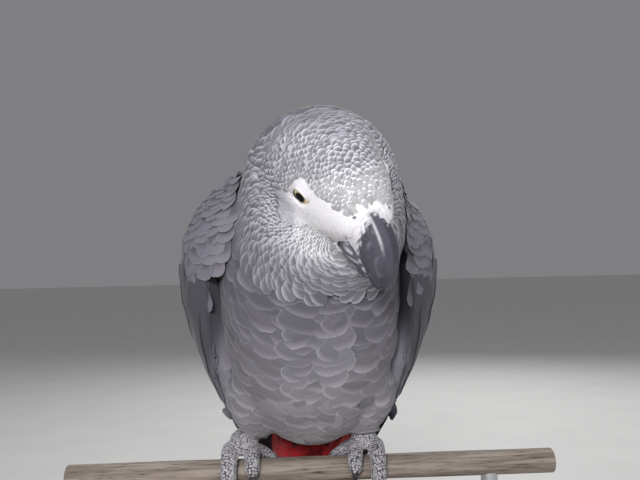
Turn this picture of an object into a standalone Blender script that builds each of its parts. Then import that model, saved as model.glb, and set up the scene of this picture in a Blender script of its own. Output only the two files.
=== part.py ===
"""A life-size grey parrot, Psittacus erithacus, perched on a cut length of dowel on a plain display stand.

The bird faces -Y with its body plane at x = 0, its feathers raised, and its head bowed and turned to its own left.
Lengths are in millimetres and become metres in MM. The origin is on the floor, under the middle of the stand.

A soft form is a loft of rings through a few named stations, which a smooth curve joins. Neighbouring forms are parted
by cutting one with a copy of the other that is larger by GAP. The empties "bird" and "head frame" place the pieces.
"""

import math

import bmesh
import bpy
import numpy as np
from mathutils import Matrix, Vector

MM = 0.001
GAP = 0.35  # clearance between neighbouring solids

# The stand and the perch
BASE_SIZE = (210.0, 190.0, 14.0)
BASE_CORNER = 45.0
BASE_EDGE = 2.0
PERCH_RADIUS = 5.8
PERCH_LENGTH = 230.0
PERCH_TOP = 112.0  # every height of the bird below is measured from here
ROD_RADIUS = 4.0
ROD_SPREAD = 84.0  # from the body plane to each rod

# The head's own frame: x towards the bill, y to the bird's left, z to the crown, origin between the eyes
HEAD_AT = (12.8, -59.0, 120.4)
HEAD_YAW, HEAD_PITCH, HEAD_ROLL = 23.5, 31.1, 18.2  # to its left, down, and left side up

EYE_RADIUS = 6.0
EYE_AT = (-2.5, 13.9, 1.5)  # the centre of the left eyeball in the head's frame

SIDES = (("right", -1.0), ("left", 1.0))  # the bird's right is at -X
ANKLE_X = {"right": -25.5, "left": 23.0}
FOOT_X = {"right": -34.0, "left": 24.5}

# Stations of the head, along its x: x, top, bottom, half width
HEAD_STATIONS = (
    (27.6, -4.5, -7.5, 2.5),
    (26.6, -0.5, -11.0, 6.6),
    (24.0, 4.5, -14.0, 9.4),
    (19.0, 10.5, -17.0, 12.2),
    (12.0, 16.0, -21.5, 15.2),
    (3.0, 21.0, -26.5, 18.0),
    (-7.0, 24.0, -30.0, 21.2),
    (-17.0, 25.0, -31.0, 25.2),
    (-27.0, 23.5, -30.0, 26.4),
    (-35.0, 18.0, -25.0, 22.0),
    (-40.0, 8.0, -15.0, 11.0),
    (-41.0, 0.0, -6.0, 3.0),
)
# Stations of the two halves of the bill, along them: upper x and z, lower x and z, half width
UPPER_BILL = (
    ((17.0, -0.5), (11.0, -9.5), 7.0),
    ((22.0, 1.0), (14.0, -11.8), 8.4),
    ((27.4, -0.4), (17.8, -13.0), 8.8),
    ((32.8, -4.4), (21.6, -14.2), 8.4),
    ((36.6, -9.8), (25.0, -16.2), 7.6),
    ((38.3, -16.0), (27.4, -19.2), 6.7),
    ((38.0, -21.8), (28.8, -22.8), 5.8),
    ((35.8, -26.6), (29.2, -26.6), 4.6),
    ((32.4, -29.8), (29.2, -30.0), 2.6),
)
LOWER_BILL = (
    ((5.0, -13.0), (4.0, -19.0), 5.0),
    ((9.0, -12.5), (7.5, -23.0), 8.2),
    ((15.0, -13.0), (12.0, -27.0), 8.6),
    ((21.5, -14.5), (17.0, -29.5), 8.0),
    ((26.5, -18.0), (22.0, -30.2), 6.8),
    ((29.0, -22.0), (26.0, -29.8), 5.4),
    ((30.0, -25.6), (28.6, -28.4), 3.2),
)
# Stations of the trunk, upwards: height, half width, front, back
TRUNK_STATIONS = (
    (3.4, 4.0, 6.0, 18.0),
    (4.4, 11.0, -3.0, 27.0),
    (8.5, 17.5, -13.0, 36.0),
    (18.0, 29.0, -26.0, 43.0),
    (32.0, 36.0, -36.0, 46.5),
    (48.0, 41.0, -42.0, 48.0),
    (66.0, 43.5, -44.5, 48.0),
    (84.0, 44.5, -43.5, 46.5),
    (101.0, 44.5, -38.5, 43.0),
    (116.0, 42.0, -29.0, 38.0),
    (128.0, 34.0, -16.0, 31.0),
    (135.0, 20.0, -3.0, 22.0),
    (137.0, 6.0, 6.0, 14.0),
)
# The raised feathers of the neck, upwards: height, x of the middle, half width, front, back
NECK_STATIONS = (
    (79.5, 7.0, 6.0, -43.0, -33.0),
    (82.0, 7.0, 19.0, -51.0, -22.0),
    (88.0, 7.0, 29.0, -56.0, -10.0),
    (97.0, 7.0, 35.0, -57.5, 4.0),
    (108.0, 6.6, 37.8, -56.0, 16.0),
    (120.0, 6.2, 38.4, -52.0, 23.0),
    (132.0, 5.8, 37.4, -50.0, 23.0),
    (143.0, 5.4, 33.4, -49.0, 15.0),
    (152.0, 5.2, 26.0, -46.0, 4.0),
    (158.0, 5.0, 16.5, -41.0, -9.0),
    (161.0, 5.0, 5.0, -33.0, -21.0),
)
# Stations of a wing, downwards: height, half axes of its curve in plan, the curve's middle in y, the angles at its
# front and back edges, thickness. An angle of 0 points out to the side, and 90 points back.
WING_STATIONS = (
    (138.0, 31.0, 10.0, 17.0, -5.0, 40.0, 2.5),
    (136.0, 37.0, 17.0, 16.0, -28.0, 56.0, 5.0),
    (131.0, 45.5, 25.0, 14.0, -38.0, 64.0, 7.5),
    (122.0, 54.0, 32.0, 12.0, -44.0, 69.0, 9.5),
    (110.0, 60.5, 37.0, 10.5, -46.0, 72.0, 10.0),
    (96.0, 63.8, 39.0, 10.0, -45.0, 75.0, 10.0),
    (80.0, 63.0, 40.0, 11.0, -42.0, 78.0, 9.0),
    (60.0, 58.5, 39.0, 14.0, -38.0, 81.0, 8.0),
    (40.0, 52.0, 37.0, 18.5, -30.0, 84.0, 7.0),
    (20.0, 43.5, 33.0, 26.0, -17.0, 85.0, 6.0),
    (0.0, 35.0, 27.0, 36.0, -2.0, 85.0, 5.0),
    (-20.0, 28.0, 20.0, 48.0, 12.0, 84.0, 4.0),
    (-40.0, 22.0, 12.5, 62.0, 28.0, 81.0, 3.2),
    (-58.0, 16.0, 6.5, 74.0, 40.0, 76.0, 2.4),
    (-69.0, 11.5, 3.5, 81.0, 50.0, 72.0, 1.6),
)
# Stations of the tail's coverts and of the tail, downwards: y and height of the middle, half width, half thickness
COVERT_STATIONS = (
    (22.0, 24.0, 6.0, 6.0),
    (26.0, 18.0, 17.0, 15.0),
    (33.0, 6.0, 21.0, 17.0),
    (40.0, -7.0, 20.5, 14.5),
    (47.0, -19.0, 19.6, 10.5),
    (53.0, -30.0, 18.4, 6.6),
    (58.0, -39.0, 14.0, 3.4),
    (60.0, -42.5, 5.0, 1.5),
)
TAIL_STATIONS = (
    (44.0, -10.0, 13.0, 3.5),
    (50.0, -22.0, 18.0, 4.2),
    (57.0, -36.0, 20.0, 3.8),
    (66.0, -53.0, 21.5, 3.0),
    (74.0, -68.0, 22.0, 2.2),
    (79.0, -77.5, 19.5, 1.7),
    (81.5, -82.5, 13.0, 1.4),
    (82.5, -84.5, 4.0, 1.2),
)
# Stations of a thigh, downwards: x, y and height of the middle, half width, half depth
THIGH_STATIONS = (
    (24.0, 2.0, 45.0, 3.0, 3.0),
    (26.5, 1.0, 42.0, 11.0, 12.0),
    (28.0, -1.0, 34.0, 14.0, 17.0),
    (27.2, -2.0, 24.0, 13.6, 16.0),
    (25.5, -1.0, 15.0, 11.0, 12.0),
    (24.5, 0.0, 9.5, 8.4, 8.6),
    (24.0, 0.0, 8.0, 4.0, 4.0),
)
# A toe: its offset outwards at the root and at the tip, the angles round the perch at its root and tip (0 is the top
# and 90 the front), its radius at the root and at the tip
TOES = {
    "toe_2": (-5.0, -5.6, 6.0, 78.0, 4.1, 3.5),
    "toe_3": (5.0, 5.4, 6.0, 122.0, 4.3, 3.6),
    "toe_1": (-4.6, -14.5, -18.0, -72.0, 3.8, 3.0),
    "toe_4": (4.6, 9.0, -18.0, -126.0, 4.1, 3.4),
}
CLAW_TURN = 52.0  # degrees that a claw carries on round the perch
CLAW_RADIUS = 2.3


def clear_scene():
    for item in list(bpy.data.objects):
        bpy.data.objects.remove(item)


def collection(name):
    made = bpy.data.collections.new(name)
    bpy.context.scene.collection.children.link(made)
    return made


def material(name, colour, roughness, metallic=0.0):
    made = bpy.data.materials.new(name)
    made.use_nodes = True
    shader = made.node_tree.nodes["Principled BSDF"]
    shader.inputs["Base Color"].default_value = (*colour, 1.0)
    shader.inputs["Roughness"].default_value = roughness
    shader.inputs["Metallic"].default_value = metallic
    return made


def through(rows, count):
    """`count` rows on the smooth curve through the given rows, evenly spaced along them."""
    rows = np.array(rows, float)
    ends = (2 * rows[0] - rows[1], 2 * rows[-1] - rows[-2])
    padded = np.vstack((ends[0], rows, ends[1]))
    steps = np.linalg.norm(np.diff(rows, axis=0), axis=1) ** 0.5
    places = np.concatenate(([0.0], np.cumsum(steps)))
    made = []
    for place in np.linspace(0.0, places[-1], count):
        i = min(int(np.searchsorted(places, place, side="right")) - 1, len(rows) - 2)
        t = (place - places[i]) / steps[i]
        a, b, c, d = padded[i : i + 4]
        made.append(0.5 * (2 * b + (c - a) * t + (2 * a - 5 * b + 4 * c - d) * t**2
                           + (3 * b - a - 3 * c + d) * t**3))
    return made


def oval(middle, across, along, sides, power=2.0):
    """A ring about `middle` whose half axes are the vectors `across` and `along`; over 2 the power squares it."""
    ring = []
    for k in range(sides):
        angle = 2 * math.pi * k / sides
        c, s = math.cos(angle), math.sin(angle)
        x = math.copysign(abs(c) ** (2 / power), c)
        y = math.copysign(abs(s) ** (2 / power), s)
        ring.append(Vector(middle) + Vector(across) * x + Vector(along) * y)
    return ring


class Bench:
    """Makes the named solids under their empties, and keeps the cutters out of the render."""

    def __init__(self, solids, cutters):
        self.solids = solids
        self.cutters = cutters

    def add(self, name, data, parent=None, location=(0.0, 0.0, 0.0), smooth=True):
        """An object of this mesh, which is in millimetres, placed in its parent's frame."""
        data.transform(Matrix.Scale(MM, 4))
        data.polygons.foreach_set("use_smooth", [smooth] * len(data.polygons))
        made = bpy.data.objects.new(name, data)
        made.parent = parent
        made.location = Vector(location) * MM
        self.solids.objects.link(made)
        return made

    def loft(self, name, rings, parent):
        """A closed surface over the rings, which all have the same number of points, with a fan at each end."""
        sides = len(rings[0])
        points = [tuple(p) for ring in rings for p in ring]
        faces = []
        for i in range(len(rings) - 1):
            for k in range(sides):
                a, b = i * sides + k, i * sides + (k + 1) % sides
                faces.append((a, b, b + sides, a + sides))
        points += [tuple(sum(ring, Vector()) / sides) for ring in (rings[0], rings[-1])]
        last = (len(rings) - 1) * sides
        for k in range(sides):
            faces.append((len(points) - 2, (k + 1) % sides, k))
            faces.append((len(points) - 1, last + k, last + (k + 1) % sides))
        data = bpy.data.meshes.new(name)
        data.from_pydata(points, [], faces)
        data.update()
        if sum(f.center.dot(f.normal) * f.area for f in data.polygons) < 0:
            data.flip_normals()
        return self.add(name, data, parent)

    def tube(self, name, path, radii, parent, sides=8):
        """A tube of changing radius along the path, with rounded ends."""
        path = [Vector(p) for p in path]
        first, last = (path[0] - path[1]).normalized(), (path[-1] - path[-2]).normalized()
        points = [path[0] + first * radii[0] * 0.75, *path, path[-1] + last * radii[-1] * 0.7]
        radii = [radii[0] * 0.6, *radii, radii[-1] * 0.6]
        curve = bpy.data.curves.new(name, "CURVE")
        curve.dimensions = "3D"
        curve.bevel_depth = 1.0
        curve.bevel_resolution = sides // 2 - 2
        curve.use_fill_caps = True
        spline = curve.splines.new("POLY")
        spline.points.add(len(points) - 1)
        for knot, point, radius in zip(spline.points, points, radii):
            knot.co = (*point, 1.0)
            knot.radius = radius
        guide = bpy.data.objects.new(name + "_guide", curve)
        self.cutters.objects.link(guide)
        bpy.context.view_layer.update()
        data = bpy.data.meshes.new_from_object(guide.evaluated_get(bpy.context.evaluated_depsgraph_get()))
        data.name = name
        bpy.data.objects.remove(guide)
        soft = bmesh.new()
        soft.from_mesh(data)
        bmesh.ops.remove_doubles(soft, verts=soft.verts, dist=0.001)
        soft.to_mesh(data)
        soft.free()
        return self.add(name, data, parent)

    def turned(self, name, make, matrix, parent=None, smooth=True, **sizes):
        """A bmesh primitive, such as create_cone, in millimetres under the given matrix."""
        soft = bmesh.new()
        make(soft, matrix=matrix, **sizes)
        data = bpy.data.meshes.new(name)
        soft.to_mesh(data)
        soft.free()
        return self.add(name, data, parent, smooth=smooth)

    def grown(self, solid, by=GAP):
        """A hidden copy of the solid, larger by `by` all round."""
        data = solid.data.copy()
        normals = [v.normal.copy() for v in data.vertices]
        for vertex, normal in zip(data.vertices, normals):
            vertex.co += normal * by * MM
        made = bpy.data.objects.new(solid.name + "_cutter", data)
        made.parent = solid.parent
        made.location = solid.location
        made.hide_render = True
        made.display_type = "WIRE"
        self.cutters.objects.link(made)
        return made


def cut(solid, *others):
    for other in others:
        modifier = solid.modifiers.new("gap to " + other.name, "BOOLEAN")
        modifier.operation = "DIFFERENCE"
        modifier.solver = "EXACT"
        modifier.object = other


def bevel(solid, width, segments=1):
    modifier = solid.modifiers.new("edges", "BEVEL")
    modifier.width = width * MM
    modifier.segments = segments
    modifier.limit_method = "ANGLE"
    modifier.angle_limit = math.radians(40)


def empty(name, place, parent=None):
    made = bpy.data.objects.new(name, None)
    bpy.context.scene.collection.objects.link(made)
    made.parent = parent
    made.matrix_local = place
    return made


def head_matrix():
    """The head's frame in the bird's, in metres."""
    yaw, pitch = math.radians(HEAD_YAW), math.radians(HEAD_PITCH)
    forward = Vector((math.cos(pitch) * math.sin(yaw), -math.cos(pitch) * math.cos(yaw), -math.sin(pitch)))
    level_left = Vector((0.0, 0.0, 1.0)).cross(forward).normalized()
    left = Matrix.Rotation(math.radians(HEAD_ROLL), 3, forward) @ level_left
    turned = Matrix((forward, left, forward.cross(left))).transposed()
    return Matrix.Translation(Vector(HEAD_AT) * MM) @ turned.to_4x4()


def level_rings(stations, count, sides, power):
    """Level rings from rows of height, x of the middle, half width, front and back."""
    rings = []
    for z, x, half, front, back in through(stations, count):
        middle = (x, (front + back) / 2, z)
        rings.append(oval(middle, (max(half, 0.4), 0, 0), (0, max((back - front) / 2, 0.4), 0), sides, power))
    return rings


def make_head(bench, frame):
    rings = []
    for x, top, bottom, half in through(HEAD_STATIONS, 16):
        middle = (x, 0, (top + bottom) / 2)
        rings.append(oval(middle, (0, half, 0), (0, 0, (top - bottom) / 2), 18, 2.15))
    return bench.loft("head", rings, frame)


def make_bill(bench, name, stations, count, frame, widest, power):
    """Half the bill: each ring is widest at a share of the way from its lower point to its upper one."""
    rows = [(*upper, *lower, half) for upper, lower, half in stations]
    rings = []
    for ux, uz, lx, lz, half in through(rows, count):
        upper, lower = Vector((ux, 0, uz)), Vector((lx, 0, lz))
        middle = lower.lerp(upper, widest)
        ring = oval((0, 0, 0), (0, half, 0), (0, 0, 1), 14, power)
        rings.append([middle + Vector((0, p.y, 0)) + (upper - middle if p.z > 0 else middle - lower) * p.z
                      for p in ring])
    return bench.loft(name, rings, frame)


def make_eye(bench, side, sign, frame):
    x, y, z = EYE_AT
    place = Matrix.Translation((x, sign * y, z)) @ Matrix.Rotation(math.pi / 2, 4, "X")
    return bench.turned("eye_" + side, bmesh.ops.create_uvsphere, place, frame,
                        u_segments=16, v_segments=9, radius=EYE_RADIUS)


def make_wing(bench, side, sign, bird):
    rings = []
    for z, a, b, y, first, last, thick in through(WING_STATIONS, 18):
        outer, inner = [], []
        for share in np.linspace(0, 1, 8):
            angle = math.radians(first + (last - first) * share)
            outward = Vector((math.cos(angle) / a, math.sin(angle) / b, 0)).normalized()
            point = Vector((a * math.cos(angle), y + b * math.sin(angle), z))
            deep = max(thick * math.sin(math.pi * (0.04 + 0.92 * share)) ** 0.6, 0.7)
            outer.append(point)
            inner.append(point - outward * deep)
        rings.append([Vector((sign * p.x, p.y, p.z)) for p in outer + inner[::-1]])
    return bench.loft("wing_" + side, rings, bird)


def make_blade(bench, name, stations, count, sides, power, bird):
    """The tail or its coverts: rings square to a line in the body plane."""
    rows = through(stations, count)
    rings = []
    for i, (y, z, half, thick) in enumerate(rows):
        before, after = rows[max(i - 1, 0)], rows[min(i + 1, len(rows) - 1)]
        along = Vector((0, after[0] - before[0], after[1] - before[1])).normalized()
        across = along.cross(Vector((1, 0, 0)))
        rings.append(oval((0, y, z), (half, 0, 0), across * thick, sides, power))
    return bench.loft(name, rings, bird)


def make_thigh(bench, side, sign, bird):
    rings = []
    lean = ANKLE_X[side] - sign * 24.0
    top, bottom = THIGH_STATIONS[0][2], THIGH_STATIONS[-1][2]
    for x, y, z, half, deep in through(THIGH_STATIONS, 9):
        shift = lean * (top - z) / (top - bottom)
        rings.append(oval((sign * x + shift, y, z), (half, 0, 0), (0, deep, 0), 16))
    return bench.loft("thigh_" + side, rings, bird)


def round_perch(x, angle, radius):
    """The middle of a toe of this radius that lies on the perch at x, at an angle from its top to its front."""
    out = PERCH_RADIUS + GAP + radius
    turn = math.radians(angle)
    return (x, -out * math.sin(turn), -PERCH_RADIUS + out * math.cos(turn))


def make_foot(bench, side, sign, bird, perch_cutter):
    """The shank with the sole of one foot, its four toes and its four claws. Returns the cutters of all but claws."""
    foot, ankle = FOOT_X[side], ANKLE_X[side]
    path = through(((ankle, 6.0, 23.0, 4.6), (ankle, 4.5, 17.0, 5.0), ((ankle + foot) / 2, 2.5, 11.5, 5.6),
                    (foot, 0.5, 6.8, 6.6)), 6)
    shank = bench.tube("shank_" + side, [p[:3] for p in path], [p[3] for p in path], bird, 10)
    cut(shank, perch_cutter)
    cutters = [bench.grown(shank)]
    for name, (root_x, tip_x, root, tip, wide, narrow) in TOES.items():
        shares = np.linspace(0, 1, 5)
        radii = [wide + (narrow - wide) * s for s in shares]
        path = [round_perch(foot + sign * (root_x + (tip_x - root_x) * s), root + (tip - root) * s, r)
                for s, r in zip(shares, radii)]
        toe = bench.tube(f"{name}_{side}", path, radii, bird)
        cut(toe, *cutters)
        cutters.append(bench.grown(toe))
        turn = math.copysign(CLAW_TURN, tip)
        claw_path, claw_radii = [], []
        for s in np.linspace(0, 1, 5):
            radius = CLAW_RADIUS * (1 - 0.85 * s**1.4)
            claw_radii.append(radius)
            lift = (narrow - radius) * (1 - s) * 0.9 + 0.5 * math.sin(math.pi * s)
            claw_path.append(round_perch(foot + sign * tip_x, tip + turn * (0.06 + 0.94 * s), radius + lift))
        claw = bench.tube(f"claw_{name[-1]}_{side}", claw_path, claw_radii, bird, 6)
        cut(claw, cutters[-1])
    return cutters


def make_perch(bench, bird):
    place = Matrix.Translation((0, 0, -PERCH_RADIUS)) @ Matrix.Rotation(math.pi / 2, 4, "Y")
    perch = bench.turned("perch", bmesh.ops.create_cone, place, bird, cap_ends=True, segments=28,
                         radius1=PERCH_RADIUS, radius2=PERCH_RADIUS, depth=PERCH_LENGTH)
    perch_cutter = bench.grown(perch, 0.02)
    bevel(perch, 0.8)
    return perch_cutter


def make_base(bench):
    """The flat base: a slab with round corners and broken edges."""
    width, depth, height = BASE_SIZE
    soft = bmesh.new()
    bmesh.ops.create_cube(soft, matrix=Matrix.Translation((0, 0, height / 2)) @ Matrix.Diagonal((*BASE_SIZE, 1.0)))
    upright = [e for e in soft.edges if abs(e.verts[0].co.z - e.verts[1].co.z) > 1.0]
    bmesh.ops.bevel(soft, geom=upright, offset=BASE_CORNER, segments=6, profile=0.5, affect="EDGES")
    data = bpy.data.meshes.new("stand_base")
    soft.to_mesh(data)
    soft.free()
    bevel(bench.add("stand_base", data, smooth=False), BASE_EDGE)


def make_rod(bench, side, sign, perch_cutter):
    bottom = BASE_SIZE[2] + 0.02
    height = PERCH_TOP - PERCH_RADIUS - bottom
    rod = bench.turned("stand_rod_" + side, bmesh.ops.create_cone,
                       Matrix.Translation((sign * ROD_SPREAD, 0, bottom + height / 2)), cap_ends=True, segments=20,
                       radius1=ROD_RADIUS, radius2=ROD_RADIUS, depth=height)
    cut(rod, perch_cutter)


def build():
    clear_scene()
    bench = Bench(collection("grey parrot"), collection("cutters"))
    bird = empty("bird", Matrix.Translation((0, 0, PERCH_TOP * MM)))
    frame = empty("head frame", head_matrix(), bird)

    perch_cutter = make_perch(bench, bird)
    make_base(bench)
    head = make_head(bench, frame)
    upper = make_bill(bench, "bill_upper", UPPER_BILL, 12, frame, 0.16, 1.9)
    lower = make_bill(bench, "bill_lower", LOWER_BILL, 8, frame, 0.8, 2.2)
    upper_cutter, lower_cutter, head_cutter = bench.grown(upper), bench.grown(lower), bench.grown(head)
    cut(lower, upper_cutter)
    cut(head, upper_cutter, lower_cutter)

    trunk_rows = [(z, 0.0, half, front, back) for z, half, front, back in TRUNK_STATIONS]
    trunk = bench.loft("trunk", level_rings(trunk_rows, 15, 24, 2.2), bird)
    neck = bench.loft("neck", level_rings(NECK_STATIONS, 13, 22, 2.1), bird)
    trunk_cutter, neck_cutter = bench.grown(trunk), bench.grown(neck)
    cut(neck, head_cutter, trunk_cutter, lower_cutter, upper_cutter)
    cut(head, trunk_cutter)
    coverts = make_blade(bench, "tail_coverts", COVERT_STATIONS, 9, 14, 2.2, bird)
    tail = make_blade(bench, "tail", TAIL_STATIONS, 9, 14, 2.8, bird)
    coverts_cutter, tail_cutter = bench.grown(coverts), bench.grown(tail)
    cut(coverts, trunk_cutter)
    cut(tail, coverts_cutter)

    for side, sign in SIDES:
        eye = make_eye(bench, side, sign, frame)
        cut(head, bench.grown(eye))
        thigh = make_thigh(bench, side, sign, bird)
        thigh_cutter = bench.grown(thigh)
        cut(thigh, *make_foot(bench, side, sign, bird, perch_cutter))
        cut(trunk, thigh_cutter)
        wing = make_wing(bench, side, sign, bird)
        cut(wing, trunk_cutter, neck_cutter, coverts_cutter, tail_cutter, thigh_cutter)
        make_rod(bench, side, sign, perch_cutter)

    finishes = {
        "head": ((0.56, 0.57, 0.60), 0.85), "neck": ((0.50, 0.51, 0.55), 0.85),
        "trunk": ((0.40, 0.41, 0.45), 0.85), "thigh": ((0.47, 0.48, 0.52), 0.85),
        "wing": ((0.25, 0.27, 0.32), 0.7), "tail": ((0.45, 0.02, 0.03), 0.6),
        "bill": ((0.05, 0.05, 0.055), 0.45), "eye": ((0.72, 0.66, 0.42), 0.08),
        "shank": ((0.42, 0.42, 0.44), 0.7), "toe": ((0.42, 0.42, 0.44), 0.7),
        "claw": ((0.04, 0.04, 0.045), 0.4), "perch": ((0.55, 0.48, 0.38), 0.75),
        "stand": ((0.03, 0.03, 0.032), 0.5),
    }
    for solid in bench.solids.objects:
        colour, roughness = finishes[solid.name.split("_")[0]]
        solid.data.materials.append(material(solid.name, colour, roughness))


build()
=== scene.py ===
"""The looks of a grey parrot on a display stand.

One skin lies under the coat, and the coat is solid mesh: every feather is a closed vane with its own spine, laid in
rows along the lie of the plumage. Bill, eyes, lids, feet, claws, perch and stand are pieces of their own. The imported
solids give every place and size; lengths are metres, and the constants in millimetres are turned by MM.
"""

from __future__ import annotations

import copy
import logging
import math
from dataclasses import dataclass, field, replace
from enum import Enum
from functools import cached_property, partial

import bpy
import numpy as np
from mathutils import Matrix, Vector
from mathutils.bvhtree import BVHTree

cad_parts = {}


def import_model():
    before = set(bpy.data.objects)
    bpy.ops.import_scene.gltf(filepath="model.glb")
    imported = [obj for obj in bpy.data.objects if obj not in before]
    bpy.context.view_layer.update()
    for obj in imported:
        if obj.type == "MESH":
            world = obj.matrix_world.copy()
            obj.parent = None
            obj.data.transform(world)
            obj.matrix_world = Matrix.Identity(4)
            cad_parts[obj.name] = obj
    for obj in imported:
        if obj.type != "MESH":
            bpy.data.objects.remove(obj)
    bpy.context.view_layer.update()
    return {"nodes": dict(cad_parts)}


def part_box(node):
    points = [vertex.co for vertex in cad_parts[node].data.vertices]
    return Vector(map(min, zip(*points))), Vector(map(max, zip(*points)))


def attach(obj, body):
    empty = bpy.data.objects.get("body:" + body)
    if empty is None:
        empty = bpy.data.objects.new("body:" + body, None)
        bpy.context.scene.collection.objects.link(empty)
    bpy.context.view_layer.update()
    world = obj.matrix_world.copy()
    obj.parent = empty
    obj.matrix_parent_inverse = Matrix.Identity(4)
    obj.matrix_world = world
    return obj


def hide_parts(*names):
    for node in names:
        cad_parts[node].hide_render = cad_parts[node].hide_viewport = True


LOG = logging.getLogger("grey_parrot")
Array = np.ndarray
Piece = bpy.types.Object
Nodes = dict[str, Piece]
Node = bpy.types.Node
Tree = bpy.types.NodeTree
MM = 0.001
ROOT = "root"
SIDES = (("right", -1.0), ("left", 1.0))  # the bird's right is at -X
DOWN_Z = np.array((0.0, 0.0, -1.0))


# ---- numbers and colours


def linear(code: str) -> Array:
    """Turns an sRGB hex colour into linear RGB.

    Args:
        code: Six hex digits.

    Returns:
        Three linear values.
    """
    parts = np.array([int(code[i : i + 2], 16) for i in (0, 2, 4)]) / 255.0
    return np.where(parts <= 0.04045, parts / 12.92, ((parts + 0.055) / 1.055) ** 2.4)


def rgba(code: str) -> tuple[float, ...]:
    """The hex colour as a socket value."""
    return (*linear(code).tolist(), 1.0)


def ease(low: float, high: float, value: Array) -> Array:
    """Smooth step: 0 below low, 1 above high, 3t^2 - 2t^3 between."""
    t = np.clip((value - low) / (high - low), 0.0, 1.0)
    return t * t * (3.0 - 2.0 * t)


def unit(vectors: Array) -> Array:
    """Each vector over its own length."""
    return vectors / np.maximum(np.linalg.norm(vectors, axis=-1, keepdims=True), 1e-12)


def mixed(first: Array, second: Array, share: Array) -> Array:
    """Colours from first to second, by a share for each row."""
    return first + (second - first) * share[:, None]


def between(ends: tuple[float, float], share: Array) -> Array:
    """Numbers from the first end to the second, by a share."""
    return ends[0] + (ends[1] - ends[0]) * share


def turns(count: int) -> Array:
    """Angles spread evenly over a whole turn."""
    return np.arange(count) * 2.0 * math.pi / count


def settled(values: Array, rounds: int) -> Array:
    """Rows averaged with their neighbours, a quarter, a half and a quarter, some rounds; the ends stay."""
    values = values.copy()
    for _ in range(rounds):
        values[1:-1] = values[:-2] * 0.25 + values[1:-1] * 0.5 + values[2:] * 0.25
    return values


def stepped(stops: tuple[tuple[float, str], ...], value: Array) -> Array:
    """The linear colour at each value, from rising pairs of a value and a hex colour."""
    places = [stop[0] for stop in stops]
    colours = np.array([linear(stop[1]) for stop in stops])
    return np.stack([np.interp(value, places, colours[:, band]) for band in range(3)], axis=-1)


@dataclass(frozen=True)
class Ripple:
    """A smooth random field: the mean of a few sine waves in random directions, each of about one length."""

    length: float
    seed: int
    waves: int = 5

    def at(self, points: Array) -> Array:
        """Values of about -1 to 1 at the points."""
        rng = np.random.default_rng(self.seed)
        ways = unit(rng.normal(size=(self.waves, 3))) * rng.uniform(0.7, 1.4, (self.waves, 1))
        phases = rng.uniform(0.0, 2.0 * math.pi, self.waves)
        angles = points @ ways.T * (2.0 * math.pi / self.length) + phases
        return np.sin(angles).sum(axis=1) / math.sqrt(self.waves)


# ---- meshes


def grid_quads(rows: int, columns: int, around: bool = False) -> Array:
    """Quads of a grid of points stored row by row.

    Args:
        rows: Number of rows of points.
        columns: Number of points in a row.
        around: Whether the last column joins the first.

    Returns:
        Four indices for each quad: along a column first, then along a row.
    """
    index = np.arange(rows * columns).reshape(rows, columns)
    right = np.roll(index, -1, axis=1) if around else index[:, 1:]
    here = index if around else index[:, :-1]
    return np.stack([here[:-1], here[1:], right[1:], right[:-1]], axis=-1).reshape(-1, 4)


def torus_quads(rows: int, columns: int) -> Array:
    """Quads of a grid that closes both ways."""
    index = np.arange(rows * columns).reshape(rows, columns)
    right, down = np.roll(index, -1, axis=1), np.roll(index, -1, axis=0)
    return np.stack([index, right, np.roll(right, -1, axis=0), down], axis=-1).reshape(-1, 4)


def make_mesh(name: str, points: Array, faces: Array, crease: float = math.pi) -> Piece:
    """Puts arrays into a new smooth-shaded mesh object at the origin.

    Args:
        name: The piece's name.
        points: Vertices, in metres.
        faces: Indices, three or four to a face.
        crease: The angle past which an edge stays sharp.

    Returns:
        The object, linked to the scene.
    """
    mesh = bpy.data.meshes.new(name)
    mesh.vertices.add(len(points))
    mesh.vertices.foreach_set("co", np.ascontiguousarray(points, np.float32).ravel())
    mesh.loops.add(faces.size)
    mesh.loops.foreach_set("vertex_index", np.ascontiguousarray(faces, np.int32).ravel())
    mesh.polygons.add(len(faces))
    mesh.polygons.foreach_set("loop_start", np.arange(0, faces.size, faces.shape[1], dtype=np.int32))
    mesh.update(calc_edges=True)
    mesh.polygons.foreach_set("use_smooth", np.ones(len(faces), bool))
    if crease < math.pi:
        mesh.set_sharp_from_angle(angle=crease)
    obj = bpy.data.objects.new(name, mesh)
    bpy.context.scene.collection.objects.link(obj)
    return obj


def set_colours(obj: Piece, colours: Array) -> None:
    """Stores the attribute "plumage": one linear colour for all vertices, or one for each."""
    layer = obj.data.attributes.new("plumage", "FLOAT_COLOR", "POINT")
    filled = np.ones((len(obj.data.vertices), 4), np.float32)
    filled[:, :3] = colours
    layer.data.foreach_set("color", filled.ravel())


def set_vectors(obj: Piece, name: str, vectors: Array) -> None:
    """Stores one vector for each vertex."""
    layer = obj.data.attributes.new(name, "FLOAT_VECTOR", "POINT")
    layer.data.foreach_set("vector", np.ascontiguousarray(vectors, np.float32).ravel())


def corner_normals(points: Array, faces: Array) -> Array:
    """The normal of each vertex: the sum of its triangles' normals by area, over its length."""
    a, b, c = (points[faces[:, i]] for i in range(3))
    normals = np.cross(b - a, c - a)
    total = np.zeros_like(points)
    for corner in range(3):
        np.add.at(total, faces[:, corner], normals)
    return unit(total)


def split_quads(quads: Array) -> Array:
    """Two triangles for each quad."""
    return np.concatenate([quads[:, [0, 1, 2]], quads[:, [0, 2, 3]]])


def outward(points: Array, faces: Array) -> Array:
    """The quads or triangles, turned over if they face the middle of their points."""
    triangles = split_quads(faces) if faces.shape[1] == 4 else faces
    inward = ((points - points.mean(axis=0)) * corner_normals(points, triangles)).sum() < 0.0
    return faces[:, ::-1] if inward else faces


def weld(piece: Piece) -> None:
    """Joins the points that meet at a pole."""
    piece.modifiers.new("poles", "WELD").merge_threshold = 0.00001


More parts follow.
